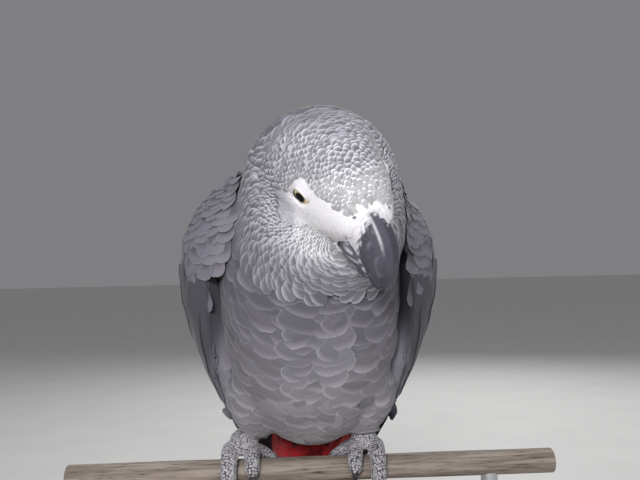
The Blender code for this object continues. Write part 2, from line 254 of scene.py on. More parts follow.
def node_arrays(node: Piece) -> tuple[Array, Array]:
    """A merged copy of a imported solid's mesh.

    Args:
        node: The solid.

    Returns:
        Its points, with doubles merged, and its triangles.
    """
    mesh = node.data
    points = np.empty(len(mesh.vertices) * 3, np.float32)
    mesh.vertices.foreach_get("co", points)
    mesh.calc_loop_triangles()
    faces = np.empty(len(mesh.loop_triangles) * 3, np.int32)
    mesh.loop_triangles.foreach_get("vertices", faces)
    points = points.reshape(-1, 3).astype(float)
    _, first, back = np.unique(np.round(points * 1e6).astype(np.int64), axis=0, return_index=True, return_inverse=True)
    faces = back.reshape(-1)[faces.reshape(-1, 3)]
    whole = (faces[:, 0] != faces[:, 1]) & (faces[:, 1] != faces[:, 2]) & (faces[:, 0] != faces[:, 2])
    return points[first], faces[whole]
def finished(
    name: str, points: Array, faces: Array, finish: Finish | bpy.types.Material,
    stands_for: tuple[str, ...] = (), colours: Array | None = None, crease: float = math.pi,
) -> Piece:
    """A finished piece that rides on the root body.

    Args:
        name: The piece's name.
        points: Vertices, in metres.
        faces: Indices, three or four to a face.
        finish: Its finish, or a material that other pieces share.
        stands_for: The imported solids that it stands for.
        colours: One linear colour, or one for each vertex.
        crease: The angle past which an edge stays sharp.

    Returns:
        The piece.
    """
    piece = make_mesh(name, points, faces, crease)
    if colours is not None:
        set_colours(piece, colours)
    piece.data.materials.append(finish.material() if isinstance(finish, Finish) else finish)
    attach(piece, ROOT)
    if stands_for:
        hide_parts(*stands_for)
    return piece


def corners(node: str) -> tuple[Array, Array]:
    """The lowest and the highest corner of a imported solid."""
    low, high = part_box(node)
    return np.array(low), np.array(high)


def search_tree(nodes: list[Piece]) -> tuple[BVHTree, Array]:
    """The search tree of some solids together, and the number of the solid that each triangle is from."""
    solids = [node_arrays(node) for node in nodes]
    starts = np.cumsum([0] + [len(points) for points, _ in solids[:-1]])
    faces = np.concatenate([own + start for (_, own), start in zip(solids, starts)])
    owner = np.repeat(np.arange(len(solids)), [len(own) for _, own in solids])
    return BVHTree.FromPolygons(np.concatenate([points for points, _ in solids]).tolist(), faces.tolist()), owner


def owners(points: Array, nodes: list[Piece]) -> Array:
    """Which of the solids each point lies nearest to."""
    tree, owner = search_tree(nodes)
    return owner[[tree.find_nearest(point)[2] for point in points.tolist()]]
@dataclass(frozen=True)
class Recast:
    """Casts solids again as one smooth surface: swell each, fill a voxel grid with them, smooth what it gives.

    The swelling closes the gaps between neighbours, and is taken off again at the end.
    """

    voxel: float
    swell: float = 0.0
    rounds: int = 6

    def cast(self, nodes: list[Piece]) -> tuple[Array, Array]:
        """Casts the nodes.

        Args:
            nodes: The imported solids.

        Returns:
            The points and the quads of the surface.
        """
        all_points, all_faces, start = [], [], 0
        for node in nodes:
            points, faces = node_arrays(node)
            points = points + corner_normals(points, faces) * self.swell
            all_points.append(points)
            all_faces.append(faces + start)
            start += len(points)
        rough = make_mesh("rough", np.concatenate(all_points), np.concatenate(all_faces))
        remesh = rough.modifiers.new("voxels", "REMESH")
        remesh.mode = "VOXEL"
        remesh.voxel_size = self.voxel
        smooth = rough.modifiers.new("smooth", "SMOOTH")
        smooth.factor = 0.5
        smooth.iterations = self.rounds
        mesh = bpy.data.meshes.new_from_object(rough.evaluated_get(bpy.context.evaluated_depsgraph_get()))
        points = np.empty(len(mesh.vertices) * 3, np.float32)
        mesh.vertices.foreach_get("co", points)
        quads = np.empty(len(mesh.loops), np.int32)
        mesh.loops.foreach_get("vertex_index", quads)
        points, quads = points.reshape(-1, 3).astype(float), quads.reshape(-1, 4)
        bpy.data.objects.remove(rough)
        bpy.data.meshes.remove(mesh)
        normals = corner_normals(points, split_quads(quads))
        return points - normals * self.swell, quads


@dataclass
class Spots:
    """Places on a surface: the points, the three corners of the triangle each lies in, and their shares."""

    points: Array
    corners: Array
    shares: Array

    def read(self, values: Array) -> Array:
        """Values kept on the vertices, at these places."""
        picked = values[self.corners]
        shares = self.shares if picked.ndim == 2 else self.shares[..., None]
        return (picked * shares).sum(axis=1)

    def only(self, chosen: Array) -> Spots:
        """Some of the places."""
        return Spots(self.points[chosen], self.corners[chosen], self.shares[chosen])


class Ground:
    """A surface that feathers or scales grow on."""

    def __init__(self, points: Array, quads: Array) -> None:
        """Keeps the arrays: vertices in metres, and four indices for each face."""
        self.points = points
        self.quads = quads
        self.faces = split_quads(quads)
        self.normals = corner_normals(points, self.faces)
        self.everywhere = np.ones(len(points), bool)

    def below(self, depth: float | Array) -> Ground:
        """The surface some millimetres under this one."""
        return Ground(self.points - self.normals * depth * MM, self.quads)

    @cached_property
    def tree(self) -> BVHTree:
        """The search tree of the triangles."""
        return BVHTree.FromPolygons(self.points.tolist(), self.faces.tolist())

    def spots_of(self, places: Array, faces: Array) -> Spots:
        """Places in the given triangles, with shares by the areas opposite each corner."""
        corners = self.faces[faces]
        a, b, c = (self.points[corners[:, i]] for i in range(3))
        normal = np.cross(b - a, c - a)
        size = np.maximum((normal * normal).sum(axis=1), 1e-24)
        first = (np.cross(c - b, places - b) * normal).sum(axis=1) / size
        second = (np.cross(a - c, places - c) * normal).sum(axis=1) / size
        shares = np.clip(np.stack([first, second, 1.0 - first - second], axis=1), 0.0, 1.0)
        shares /= shares.sum(axis=1, keepdims=True)
        return Spots(places, corners, shares)

    def near(self, places: Array) -> Spots:
        """The nearest places on the surface."""
        found = [self.tree.find_nearest(place) for place in places.tolist()]
        points = np.array([hit[0][:] for hit in found])
        return self.spots_of(points, np.array([hit[2] for hit in found]))

    def struck(self, starts: Array, ways: Array) -> Spots:
        """Where rays first meet the surface, or the place nearest to a ray's start where it misses."""
        points, faces = [], []
        for start, way in zip(starts.tolist(), ways.tolist()):
            place, _, index, _ = self.tree.ray_cast(start, way)
            if place is None:
                place, _, index, _ = self.tree.find_nearest(start)
            points.append(place[:])
            faces.append(index)
        return self.spots_of(np.array(points), np.array(faces))

    @cached_property
    def ring(self) -> Array:
        """Each vertex's neighbours within two quads, at most 30, in rows padded by the vertex itself."""
        pairs = np.concatenate([self.quads[:, [i, j]] for i in range(4) for j in range(4) if i != j])
        pairs = np.unique(pairs, axis=0)
        count = np.bincount(pairs[:, 0], minlength=len(self.points))
        start = np.concatenate([[0], np.cumsum(count)[:-1]])
        width = min(int(count.max()), 10)
        own = np.arange(len(self.points))
        table = np.repeat(own[:, None], width, axis=1)
        slot = np.arange(len(pairs)) - start[pairs[:, 0]]
        kept = slot < width
        table[pairs[kept, 0], slot[kept]] = pairs[kept, 1]
        wide = np.sort(table[table].reshape(len(own), -1), axis=1)
        double = np.zeros(wide.shape, bool)
        double[:, 1:] = wide[:, 1:] == wide[:, :-1]
        wide = np.where(double, -1, wide)
        wide = -np.sort(-wide, axis=1)[:, :30]
        return np.where(wide < 0, own[:, None], wide)

    def travel(self, sources: Array, region: Array, pitch: Array) -> Array:
        """Counts rows from the sources: the least sum of length over pitch along the surface.

        Args:
            sources: Vertices where the count is 0.
            region: Vertices that a path may cross.
            pitch: The distance between rows at each vertex.

        Returns:
            The count at each vertex; it is huge outside the region.
        """
        reach = np.linalg.norm(self.points[self.ring] - self.points[:, None], axis=2)
        slow = np.where(region | sources, 1.0 / pitch, 1e9)
        cost = reach * 0.5 * (slow[self.ring] + slow[:, None])
        count = np.where(sources, 0.0, 1e8)
        for _ in range(400):
            better = np.minimum(count, (count[self.ring] + cost).min(axis=1))
            if np.abs(better - count).max() < 1e-4:
                break
            count = better
        return count

    def calm(self, values: Array, region: Array, rounds: int) -> Array:
        """Values averaged with their neighbours in the region, some rounds."""
        share = region[self.ring].astype(float)
        total = np.maximum(share.sum(axis=1), 1.0)
        for _ in range(rounds):
            near = values[self.ring]
            weight = share if near.ndim == 2 else share[..., None]
            mean = (near * weight).sum(axis=1) / (total if near.ndim == 2 else total[:, None])
            inside = region if near.ndim == 2 else region[:, None]
            values = np.where(inside, mean, values)
        return values

    def slope(self, values: Array, region: Array) -> Array:
        """The direction in the surface in which values rise, from each triangle's gradient."""
        corners = self.faces[region[self.faces].all(axis=1)]
        a, b, c = (self.points[corners[:, i]] for i in range(3))
        normal = np.cross(b - a, c - a)
        rise = sum(
            values[corners[:, i]][:, None] * np.cross(normal, edge)
            for i, edge in enumerate((c - b, a - c, b - a))
        ) / np.maximum((normal * normal).sum(axis=1, keepdims=True), 1e-24)
        total = np.zeros_like(self.points)
        for corner in range(3):
            np.add.at(total, corners[:, corner], rise * np.linalg.norm(normal, axis=1, keepdims=True))
        total = self.calm(unit(total), region, 4)
        total -= (total * self.normals).sum(axis=1, keepdims=True) * self.normals
        return unit(total)

    def scatter(self, weights: Array, region: Array, count: int, rng: np.random.Generator) -> Spots:
        """Random places, as dense as the vertex weights say.

        Args:
            weights: Density at each vertex.
            region: Vertices whose triangles may hold places.
            count: How many places.
            rng: The source of chance.

        Returns:
            The places.
        """
        usable = np.flatnonzero(region[self.faces].all(axis=1))
        corners = self.faces[usable]
        a, b, c = (self.points[corners[:, i]] for i in range(3))
        size = np.linalg.norm(np.cross(b - a, c - a), axis=1) * weights[corners].mean(axis=1)
        picked = usable[rng.choice(len(usable), count, p=size / size.sum())]
        first, second = np.sqrt(rng.random(count)), rng.random(count)
        shares = np.stack([1.0 - first, first * (1.0 - second), first * second], axis=1)
        corners = self.faces[picked]
        return Spots((self.points[corners] * shares[..., None]).sum(axis=1), corners, shares)


# ---- finishes

SMOOTH = {"interpolation_type": "SMOOTHSTEP"}  # makes a Map Range node an eased step


def add_node(tree: Tree, kind: str, inputs: dict[str | int, object] | list[object] = (), **settings: object) -> Node:
    """Adds a shader node.

    Args:
        tree: The material's tree.
        kind: The node's type, without its ShaderNode prefix.
        inputs: What the inputs take, by name or number or in order: a value, a socket, or a node's first output.
        settings: The node's own properties.

    Returns:
        The node.
    """
    node = tree.nodes.new("ShaderNode" + kind)
    for name, value in settings.items():
        setattr(node, name, value)
    for name, value in (inputs if isinstance(inputs, dict) else dict(enumerate(inputs))).items():
        source = value.outputs[0] if isinstance(value, Node) else value
        if isinstance(source, bpy.types.NodeSocket):
            tree.links.new(source, node.inputs[name])
        else:
            node.inputs[name].default_value = source
    return node


def swing(tree: Tree, value: object, gain: float) -> Node:
    """A pattern of 0 to 1 as plus or minus half the gain: (value - 0.5) gain."""
    centred = add_node(tree, "Math", [value, 0.5], operation="SUBTRACT")
    return add_node(tree, "Math", [centred, gain], operation="MULTIPLY")


@dataclass(frozen=True)
class Finish:
    """A finish: each kind works out what the main shader's inputs take."""

    name: str

    def inputs(self, tree: Tree) -> dict[str, object]:
        """The main shader's inputs, by name."""
        raise NotImplementedError

    def material(self) -> bpy.types.Material:
        """A new node material with the main shader linked to its output."""
        material = bpy.data.materials.new(self.name)
        material.use_nodes = True
        tree = material.node_tree
        tree.nodes.clear()
        add_node(tree, "OutputMaterial", {"Surface": add_node(tree, "BsdfPrincipled", self.inputs(tree))})
        return material


@dataclass(frozen=True)
class FeatherFinish(Finish):
    """Keratin vanes, combed by preening: matt, a little sheen, barbs that slant from the shaft to the tip.

    The vane's own place comes from the attribute "vane" (across -1 to 1, along 0 to 1, chance 0 to 1) and its colour
    from the attribute "plumage". Real barbs stand about 0.25 mm apart; they are drawn two to three times as coarse.
    """

    rim: float  # how far the edge is lightened
    rim_colour: str
    rim_from: float  # where the light edge starts, as a share of the way to the edge
    # The root's darkening below is painted shade: the shadow of the vane that overlaps the root.
    downy: float  # how far the root is darkened
    barbs: float  # barb lines over the vane's length
    streak: float  # strength of the barb lines in the colour
    relief: float = 0.00005  # metres of bump
    root_shade_span: tuple[float, float] = (0.2, 0.62)  # where the dark root ends, as shares of the way to the tip
    shaft: float = 0.0  # strength of the dark shaft line
    uneven: float = 0.16  # how much vanes differ in shade
    roughness: float = 0.78
    sheen: float = 0.12
    slant: float = 0.55  # how far a barb reaches along the vane, over its reach across

    def inputs(self, tree: Tree) -> dict[str, object]:
        """Barb lines, a dark root that is painted shade of the vane above, and a dark shaft darken the vane's colour,
        and a light rim goes over it.
        """
        node = partial(add_node, tree)
        place = node("SeparateXYZ", [node("Attribute", attribute_name="vane").outputs["Vector"]])
        across, along, chance = node("Math", [place], operation="ABSOLUTE"), place.outputs[1], place.outputs[2]
        lines = [node("Math", [along, self.barbs], operation="MULTIPLY"),
                 node("Math", [across, self.barbs * self.slant], operation="MULTIPLY")]
        spot = node("CombineXYZ", [node("Math", lines, operation="SUBTRACT"),
                                   node("Math", [across, 1.5], operation="MULTIPLY"),
                                   node("Math", [chance, 83.0], operation="MULTIPLY")])
        barb = node("TexNoise", {"Vector": spot, "Scale": 1.0, "Detail": 2.0, "Roughness": 0.6})
        edge = node("Math", [node("Math", [across, 3.0], operation="POWER"), along], operation="MAXIMUM")
        rim = node("MapRange", [edge, self.rim_from, 0.99, 0.0, self.rim], **SMOOTH)
        shade = node("Math", [1.0, swing(tree, barb, self.streak)], operation="ADD")
        # The first darkening is painted shade at the root, where the vane above overlaps; the second is the shaft's own
        # dark line.
        for dark in (node("MapRange", [along, *self.root_shade_span, self.downy, 0.0], **SMOOTH),
                     node("MapRange", [across, 0.0, 0.09, self.shaft, 0.0], **SMOOTH)):
            shade = node("Math", [shade, dark], operation="SUBTRACT")
        shade = node("Math", [shade, swing(tree, chance, self.uneven)], operation="ADD")
        dyed = node("VectorMath", {0: node("Attribute", attribute_name="plumage"), 3: shade}, operation="SCALE")
        return {
            "Base Color": node("Mix", {0: rim, 6: dyed, 7: rgba(self.rim_colour)}, data_type="RGBA").outputs[2],
            "Normal": node("Bump", {"Height": barb, "Distance": self.relief, "Strength": 0.6}),
            "Roughness": self.roughness,
            "Specular IOR Level": 0.25,
            "Sheen Weight": self.sheen,
            "Sheen Roughness": 0.45,
        }


@dataclass(frozen=True)
class PatternFinish(Finish):
    """A surface whose colour comes from the attribute "plumage", broken by a fine and a broad pattern of its own.

    It serves bare skin, horn and scales, which differ in grain size, stretch, gloss and relief.
    """

    fine: float  # millimetres of the fine grain
    broad: float  # millimetres of the broad cloudiness
    stretch: tuple[float, float, float] = (1.0, 1.0, 1.0)  # how much finer the grain is along each axis
    fine_gain: float = 0.1
    broad_gain: float = 0.1
    relief: float = 0.0001
    roughness: float = 0.5
    rough_gain: float = 0.1
    specular: float = 0.5
    coat: float = 0.0
    subsurface: float = 0.0
    cells: bool = False  # Voronoi cells in place of noise, for papillae and scales

    def inputs(self, tree: Tree) -> dict[str, object]:
        """Both patterns shade the colour, the broad one the roughness too, and the fine one gives the relief."""
        node = partial(add_node, tree)
        place = node("Mapping", {0: node("TexCoord").outputs["Object"], "Scale": self.stretch})
        kind = "TexVoronoi" if self.cells else "TexNoise"
        fine = node(kind, {"Vector": place, "Scale": 1.0 / (self.fine * MM)})
        broad = node("TexNoise", {"Vector": place, "Scale": 1.0 / (self.broad * MM), "Detail": 4.0})
        large = swing(tree, broad, self.broad_gain)
        both = node("Math", [swing(tree, fine, self.fine_gain), large], operation="ADD")
        shade = node("Math", [1.0, both], operation="ADD")
        rough = node("Math", [large, self.rough_gain], operation="MULTIPLY")
        return {
            "Base Color": node("VectorMath", {0: node("Attribute", attribute_name="plumage"), 3: shade},
                               operation="SCALE"),
            "Roughness": node("Math", [self.roughness, rough], operation="ADD"),
            "Normal": node("Bump", {"Height": fine, "Distance": self.relief, "Strength": 0.8}),
            "Specular IOR Level": self.specular,
            "Coat Weight": self.coat,
            "Subsurface Weight": self.subsurface,
            "Subsurface Radius": (0.001, 0.0006, 0.0005),
            "Subsurface Scale": 1.0,
        }


@dataclass(frozen=True)
class WoodFinish(Finish):
    """Wood: uneven grain stretched along X, darker pores, and a satin or a bare surface."""

    light: str
    dark: str
    line: float  # millimetres between bands of grain
    roughness: float
    coat: float = 0.0

    def inputs(self, tree: Tree) -> dict[str, object]:
        """Grain that a slow drift bends, and pores: both darken the wood, sink it and make it rougher."""
        node = partial(add_node, tree)
        long = node("Mapping", {0: node("TexCoord").outputs["Object"], "Scale": (0.06, 1.0, 1.0)})
        drift = node("TexNoise", {"Vector": long, "Scale": 60.0, "Detail": 3.0})
        bent = node("VectorMath", {0: drift.outputs["Color"], 3: 0.012}, operation="SCALE")
        bent = node("VectorMath", [long, bent], operation="ADD")
        grain = node("TexNoise", {"Vector": bent, "Scale": 0.5 / (self.line * MM), "Detail": 4.0, "Roughness": 0.62,
                                  "Distortion": 0.6})
        grain = node("MapRange", [grain, 0.34, 0.68, 0.0, 1.0], **SMOOTH)
        pores = node("TexNoise", {"Vector": long, "Scale": 1800.0, "Detail": 2.0})
        pores = node("MapRange", [pores, 0.56, 0.7, 0.0, 0.55], **SMOOTH)
        share = node("Math", [node("Math", [grain, 0.6], operation="MULTIPLY"), pores], operation="ADD")
        height = node("Math", [1.0, share], operation="SUBTRACT")
        return {
            "Base Color": node("Mix", {0: share, 6: rgba(self.light), 7: rgba(self.dark)}, data_type="RGBA").outputs[2],
            "Roughness": node("MapRange", [share, 0.0, 1.0, self.roughness, self.roughness + 0.12], **SMOOTH),
            "Normal": node("Bump", {"Height": height, "Distance": 0.00012}),
            "Coat Weight": self.coat,
            "Coat Roughness": 0.25,
        }


@dataclass(frozen=True)
class MetalFinish(Finish):
    """Brushed stainless steel: fine turned lines round the rod spread the highlight along it."""

    colour: str

    def inputs(self, tree: Tree) -> dict[str, object]:
        """The lines vary the tint and the roughness, and give a slight relief."""
        node = partial(add_node, tree)
        fine = node("Mapping", {0: node("TexCoord").outputs["Object"], "Scale": (120.0, 120.0, 9000.0)})
        lines = node("TexNoise", {"Vector": fine, "Scale": 1.0, "Detail": 2.0})
        shade = node("MapRange", [lines, 0.3, 0.7, 0.9, 1.05], **SMOOTH)
        return {
            "Base Color": node("VectorMath", {0: rgba(self.colour)[:3], 3: shade}, operation="SCALE"),
            "Roughness": node("MapRange", [lines, 0.3, 0.7, 0.26, 0.42], **SMOOTH),
            "Normal": node("Bump", {"Height": lines, "Distance": 0.00002}),
            "Metallic": 1.0,
        }


@dataclass(frozen=True)
class EyeFinish(Finish):
    """A wet eye: black pupil, dark inner ring, pale straw iris with radial folds, brown rim, under a clear cornea.

    The attribute "gaze" holds the angle from the eye's axis over a right angle, and the angle round it.
    """

    pupil: float = 0.225  # radii, as shares of a right angle
    iris: float = 0.45

    def inputs(self, tree: Tree) -> dict[str, object]:
        """Colours laid over each other from the inner ring outwards, the pupil last."""
        node = partial(add_node, tree)
        gaze = node("SeparateXYZ", [node("Attribute", attribute_name="gaze").outputs["Vector"]])
        out = gaze.outputs[0]
        spot = node("CombineXYZ", [node("Math", [out, 3.0], operation="MULTIPLY"), *gaze.outputs[1:]])
        folds = node("TexNoise", {"Vector": spot, "Scale": 9.0, "Detail": 3.0})
        colour = rgba("8a7d5a")
        for step, code in (
            ([out, self.pupil + 0.01, self.pupil + 0.09, 0.0, 1.0], "e6d9b4"),
            ([folds, 0.35, 0.7, 0.0, 0.45], "9a8a63"),
            ([out, self.iris - 0.05, self.iris, 0.0, 1.0], "3a2a1c"),
            ([out, self.pupil - 0.012, self.pupil + 0.012, 1.0, 0.0], "020203"),
        ):
            share = node("MapRange", step, **SMOOTH)
            colour = node("Mix", {0: share, 6: colour, 7: rgba(code)}, data_type="RGBA").outputs[2]
        return {"Base Color": colour, "Roughness": 0.5, "Specular IOR Level": 0.0, "Coat Weight": 0.35,
                "Coat Roughness": 0.02}


@dataclass(frozen=True)
class PlainFinish(Finish):
    """A matt studio surface or a dark plain one, with a faint mottle so that it isn't dead flat."""

    colour: str
    roughness: float
    mottle: float = 0.02

    def inputs(self, tree: Tree) -> dict[str, object]:
        """The mottle shades the colour."""
        node = partial(add_node, tree)
        noise = node("TexNoise", {"Vector": node("TexCoord").outputs["Object"], "Scale": 14.0, "Detail": 5.0})
        shade = node("MapRange", [noise, 0.3, 0.7, 1.0 - self.mottle, 1.0 + self.mottle], **SMOOTH)
        tint = node("VectorMath", {0: rgba(self.colour)[:3], 3: shade}, operation="SCALE")
        return {"Base Color": tint, "Roughness": self.roughness}


# Vanes: the pale rim draws each feather's scallop, and the darkened root is painted shade: the shadow that the vane
# above casts on it.
HOOD_VANES = FeatherFinish("pale-edged hood vanes", rim=0.72, rim_colour="eceaf0", rim_from=0.84, downy=0.55,
                           barbs=12.0, streak=0.14, root_shade_span=(0.62, 0.90))
PALE_VANES = replace(HOOD_VANES, name="white face vanes", rim_colour="f6f5f8", root_shade_span=(0.80, 0.97))
RUFF_VANES = FeatherFinish("wide soft ruff vanes", rim=0.62, rim_colour="cfcdd4", rim_from=0.88, downy=0.55,
                           barbs=20.0, streak=0.14, root_shade_span=(0.62, 0.92))
BREAST_VANES = FeatherFinish("soft breast vanes", rim=0.38, rim_colour="b6b3bc", rim_from=0.90, downy=0.50,
                             barbs=44.0, streak=0.18, relief=0.00008, root_shade_span=(0.66, 0.95))
COVERT_VANES = FeatherFinish("slate wing coverts", rim=0.28, rim_colour="96939d", rim_from=0.92, downy=0.45,
                             barbs=60.0, streak=0.14, root_shade_span=(0.5, 0.85), uneven=0.06, roughness=0.74)
FLIGHT_VANES = FeatherFinish("charcoal flight quills", rim=0.32, rim_colour="7a7780", rim_from=0.95, downy=0.10,
                             barbs=130.0, streak=0.16, shaft=0.25, roughness=0.55)
RED_VANES = FeatherFinish("crimson tail vanes", rim=0.08, rim_colour="8e1a22", rim_from=0.94, downy=0.25, barbs=80.0,
                          streak=0.4, relief=0.00008, shaft=0.2, roughness=0.6)
DOWN_HAIRS = FeatherFinish("white face down", rim=0.0, rim_colour="e8e8ec", rim_from=0.9, downy=0.15, barbs=2.0,
                           streak=0.05, relief=0.00002, uneven=0.28)
# Skin and horn: papillae and powder break up the gloss; only the claws keep a polish.
BARE_SKIN = PatternFinish("bare white skin", fine=0.42, broad=5.0, fine_gain=0.05, broad_gain=0.08, relief=0.00005,
                          roughness=0.62, specular=0.3, subsurface=0.1, cells=True)
BILL_HORN = PatternFinish("powdered black horn", fine=0.45, broad=3.2, stretch=(1.0, 0.55, 0.4), fine_gain=0.9,
                          broad_gain=0.9, relief=0.00012, rough_gain=0.5, specular=0.4)
CLAW_HORN = PatternFinish("dark claw horn", fine=0.5, broad=2.5, fine_gain=0.25, broad_gain=0.3, relief=0.00003,
                          roughness=0.3, coat=0.25)
FOOT_SCALES = PatternFinish("pale foot scales", fine=0.35, broad=4.0, fine_gain=0.12, broad_gain=0.16,
                            relief=0.00004, roughness=0.6, specular=0.35)
FOOT_SKIN = PatternFinish("dark skin between scales", fine=0.4, broad=3.0, fine_gain=0.2, broad_gain=0.2,
                          roughness=0.7)
PERCH_WOOD = WoodFinish("weathered perch wood", light="9d9187", dark="493d34", line=1.6, roughness=0.78)
BASE_WOOD = WoodFinish("oiled walnut base", light="6b4a33", dark="3a2519", line=4.0, roughness=0.42, coat=0.25)
ROD_STEEL = MetalFinish("brushed steel rods", colour="c9cbcf")
EYE_WET = EyeFinish("wet cornea over straw iris")
NOSTRIL_DARK = PlainFinish("nostril shadow", colour="6a666b", roughness=0.8)
FLOOR_PAINT = PlainFinish("pale studio floor", colour="e4e3e1", roughness=0.85)


# ---- the head's frame and the markings


@dataclass
class HeadFrame:
    """The head's own axes: x towards the bill, y to the bird's left, z to the crown, origin between the eyes."""

    yaw: float = 23.5  # degrees to its left
    pitch: float = 31.1  # degrees down
    roll: float = 18.2  # degrees, left side up
    eyes_behind: float = 2.5  # the eyes lie this far behind the origin, millimetres
    eyes_above: float = 1.5
    axes: Array = field(init=False)
    origin: Array = field(init=False)

    def __post_init__(self) -> None:
        """Works out the axes from the angles and the origin from the two eyeballs."""
        yaw, pitch = math.radians(self.yaw), math.radians(self.pitch)
        flat = math.cos(pitch)
        forward = Vector((flat * math.sin(yaw), -flat * math.cos(yaw), -math.sin(pitch)))
        level = Vector((0.0, 0.0, 1.0)).cross(forward).normalized()
        left = Matrix.Rotation(math.radians(self.roll), 3, forward) @ level
        self.axes = np.array((forward, left, forward.cross(left)))
        middle = sum(np.array(corner) for name in ("eye_left", "eye_right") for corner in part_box(name)) / 4.0
        self.origin = middle + (self.axes[0] * self.eyes_behind - self.axes[2] * self.eyes_above) * MM

    def local(self, points: Array) -> Array:
        """Points in the head's frame, in millimetres."""
        return (points - self.origin) @ self.axes.T / MM

    def world(self, places: Array) -> Array:
        """Places in the head's frame, in millimetres, as points."""
        return self.origin + np.asarray(places, float) @ self.axes * MM

    def turned(self, ways: Array) -> Array:
        """Directions in the head's frame as directions in the room."""
        return np.asarray(ways, float) @ self.axes


@dataclass
class Plumage:
    """The markings, as functions of place that skin and coat share."""

    head: HeadFrame
    perch_top: float
    mask_line: tuple[tuple[float, float, float], ...] = ((24.5, 0.0, 1.0), (22.0, 6.0, -3.0), (-2.5, 18.5, 1.5))

    def height(self, points: Array) -> Array:
        """Millimetres above the perch."""
        return (points[:, 2] - self.perch_top) / MM

    def from_mask(self, points: Array, above: float, below: float) -> Array:
        """Distance from the line that runs from the cere to the eye.

        Args:
            points: Where to measure.
            above: How far heights over the line count.
            below: How far heights under it count.

        Returns:
            Millimetres.
        """
        place = self.head.local(points)
        place[:, 1] = np.abs(place[:, 1])
        best = np.full(len(points), np.inf)
        line = np.array(self.mask_line)
        for start, end in zip(line[:-1], line[1:]):
            share = np.clip((place - start) @ (end - start) / ((end - start) @ (end - start)), 0.0, 1.0)
            gap = place - start - share[:, None] * (end - start)
            gap[:, 2] *= np.where(gap[:, 2] > 0.0, above, below)
            best = np.minimum(best, np.linalg.norm(gap, axis=1))
        return best

    def bare(self, points: Array) -> Array:
        """Where the face has no feathers, 0 to 1."""
        return 1.0 - ease(4.2, 5.0, self.from_mask(points, 0.9, 1.15))

    def down(self, points: Array) -> Array:
        """Where fine down takes the place of scalloped feathers, 0 to 1: below and behind the mask."""
        place = self.head.local(points)
        edge = self.from_mask(points, 1.25, 0.95) + (Ripple(0.006, 9).at(points) - 1.0) * 0.8
        past = edge - 16.0 + 5.5 * ease(-12.0, 0.0, place[:, 0])
        return np.where(place[:, 2] < 1.5 - 0.12 * np.abs(place[:, 0]), 1.0 - ease(0.0, 1.0, past), 0.0)

    def pale(self, points: Array) -> Array:
        """Where the face is white, 0 to 1: it fades over the brow and crown above, and over the cheek below."""
        place = self.head.local(points)
        edge = self.from_mask(points, 1.25, 0.7)
        reach = 24.0 - 13.0 * (1.0 - ease(-8.0, 3.0, place[:, 0]))
        brow = ease(0.0, 16.0, place[:, 0])
        fade = np.where(place[:, 2] > 2.0, 1.0 - ease(5.0 + 6.0 * brow, 8.5 + 20.0 * brow, edge),
                        1.0 - ease(0.35 * reach, reach, edge))
        return np.clip(fade, 0.0, 1.0)

    def hood(self, points: Array) -> Array:
        """Head and neck: white mask, then greys that deepen away from the face."""
        away = self.from_mask(points, 1.0, 1.0)
        grey = stepped(((4.0, "d6d4db"), (12.0, "b4b2bb"), (24.0, "a3a1ab"), (38.0, "a09ea8"), (60.0, "8a8791")), away)
        return mixed(grey, linear("f2f0f4"), self.pale(points))

    def body(self, points: Array) -> Array:
        """Breast to thighs: mid grey that pales downwards; the back is bluer and the rump pale."""
        height = self.height(points)
        front = stepped(((0.0, "bfbcc3"), (25.0, "a9a6ae"), (60.0, "837f8a"), (100.0, "7c7983")), height)
        back = stepped(((-5.0, "a5a3ad"), (25.0, "96949e"), (50.0, "74727d"), (120.0, "706e79")), height)
        return mixed(front, back, ease(5.0, 25.0, points[:, 1] / MM))

    def wing(self, points: Array) -> Array:
        """Shoulder to greater coverts: slate, a little darker downwards."""
        return stepped(((-10.0, "4e4d55"), (20.0, "615f69"), (60.0, "6f6d77"), (130.0, "75737d")), self.height(points))


# ---- feathers


@dataclass(frozen=True)
class Cut:
    """How one kind of vane is cut: shares of its own length or half width, unless it says otherwise."""

    columns: int
    rows: int
    root: float = 0.3  # half width at the root
    widest: float = 0.55  # how far along it reaches its full width
    rounding: float = 0.9  # how far the corners of the tip are taken back, over the half width
    fray: float = 0.0  # how deep the barb ends are cut, over the length
    camber: float = 0.15  # rise of the middle over the edges, over the half width
    curl: float = 0.0  # how far the tip turns down, over the half width
    thick: float = 0.00022  # metres


@dataclass
class Lay:
    """Where vanes lie: for each, its spine from root to tip with the skin's normals, and its own sizes."""

    spine: Array
    normals: Array
    bend: Array  # the skin's curvature across the vane, along its spine
    half: Array
    low: Array  # height of the root over the skin
    high: Array  # height of the tip over the skin
    colour: Array
    chart: Array  # the root's place on the unwrap

    def only(self, chosen: Array) -> Lay:
        """Some of the vanes."""
        return Lay(*(getattr(self, name)[chosen] for name in self.__dataclass_fields__))


PATCH = 0.003  # width of one vane's place on the unwrap
CURL_FROM = 0.62  # how far along a vane its tip starts to turn down


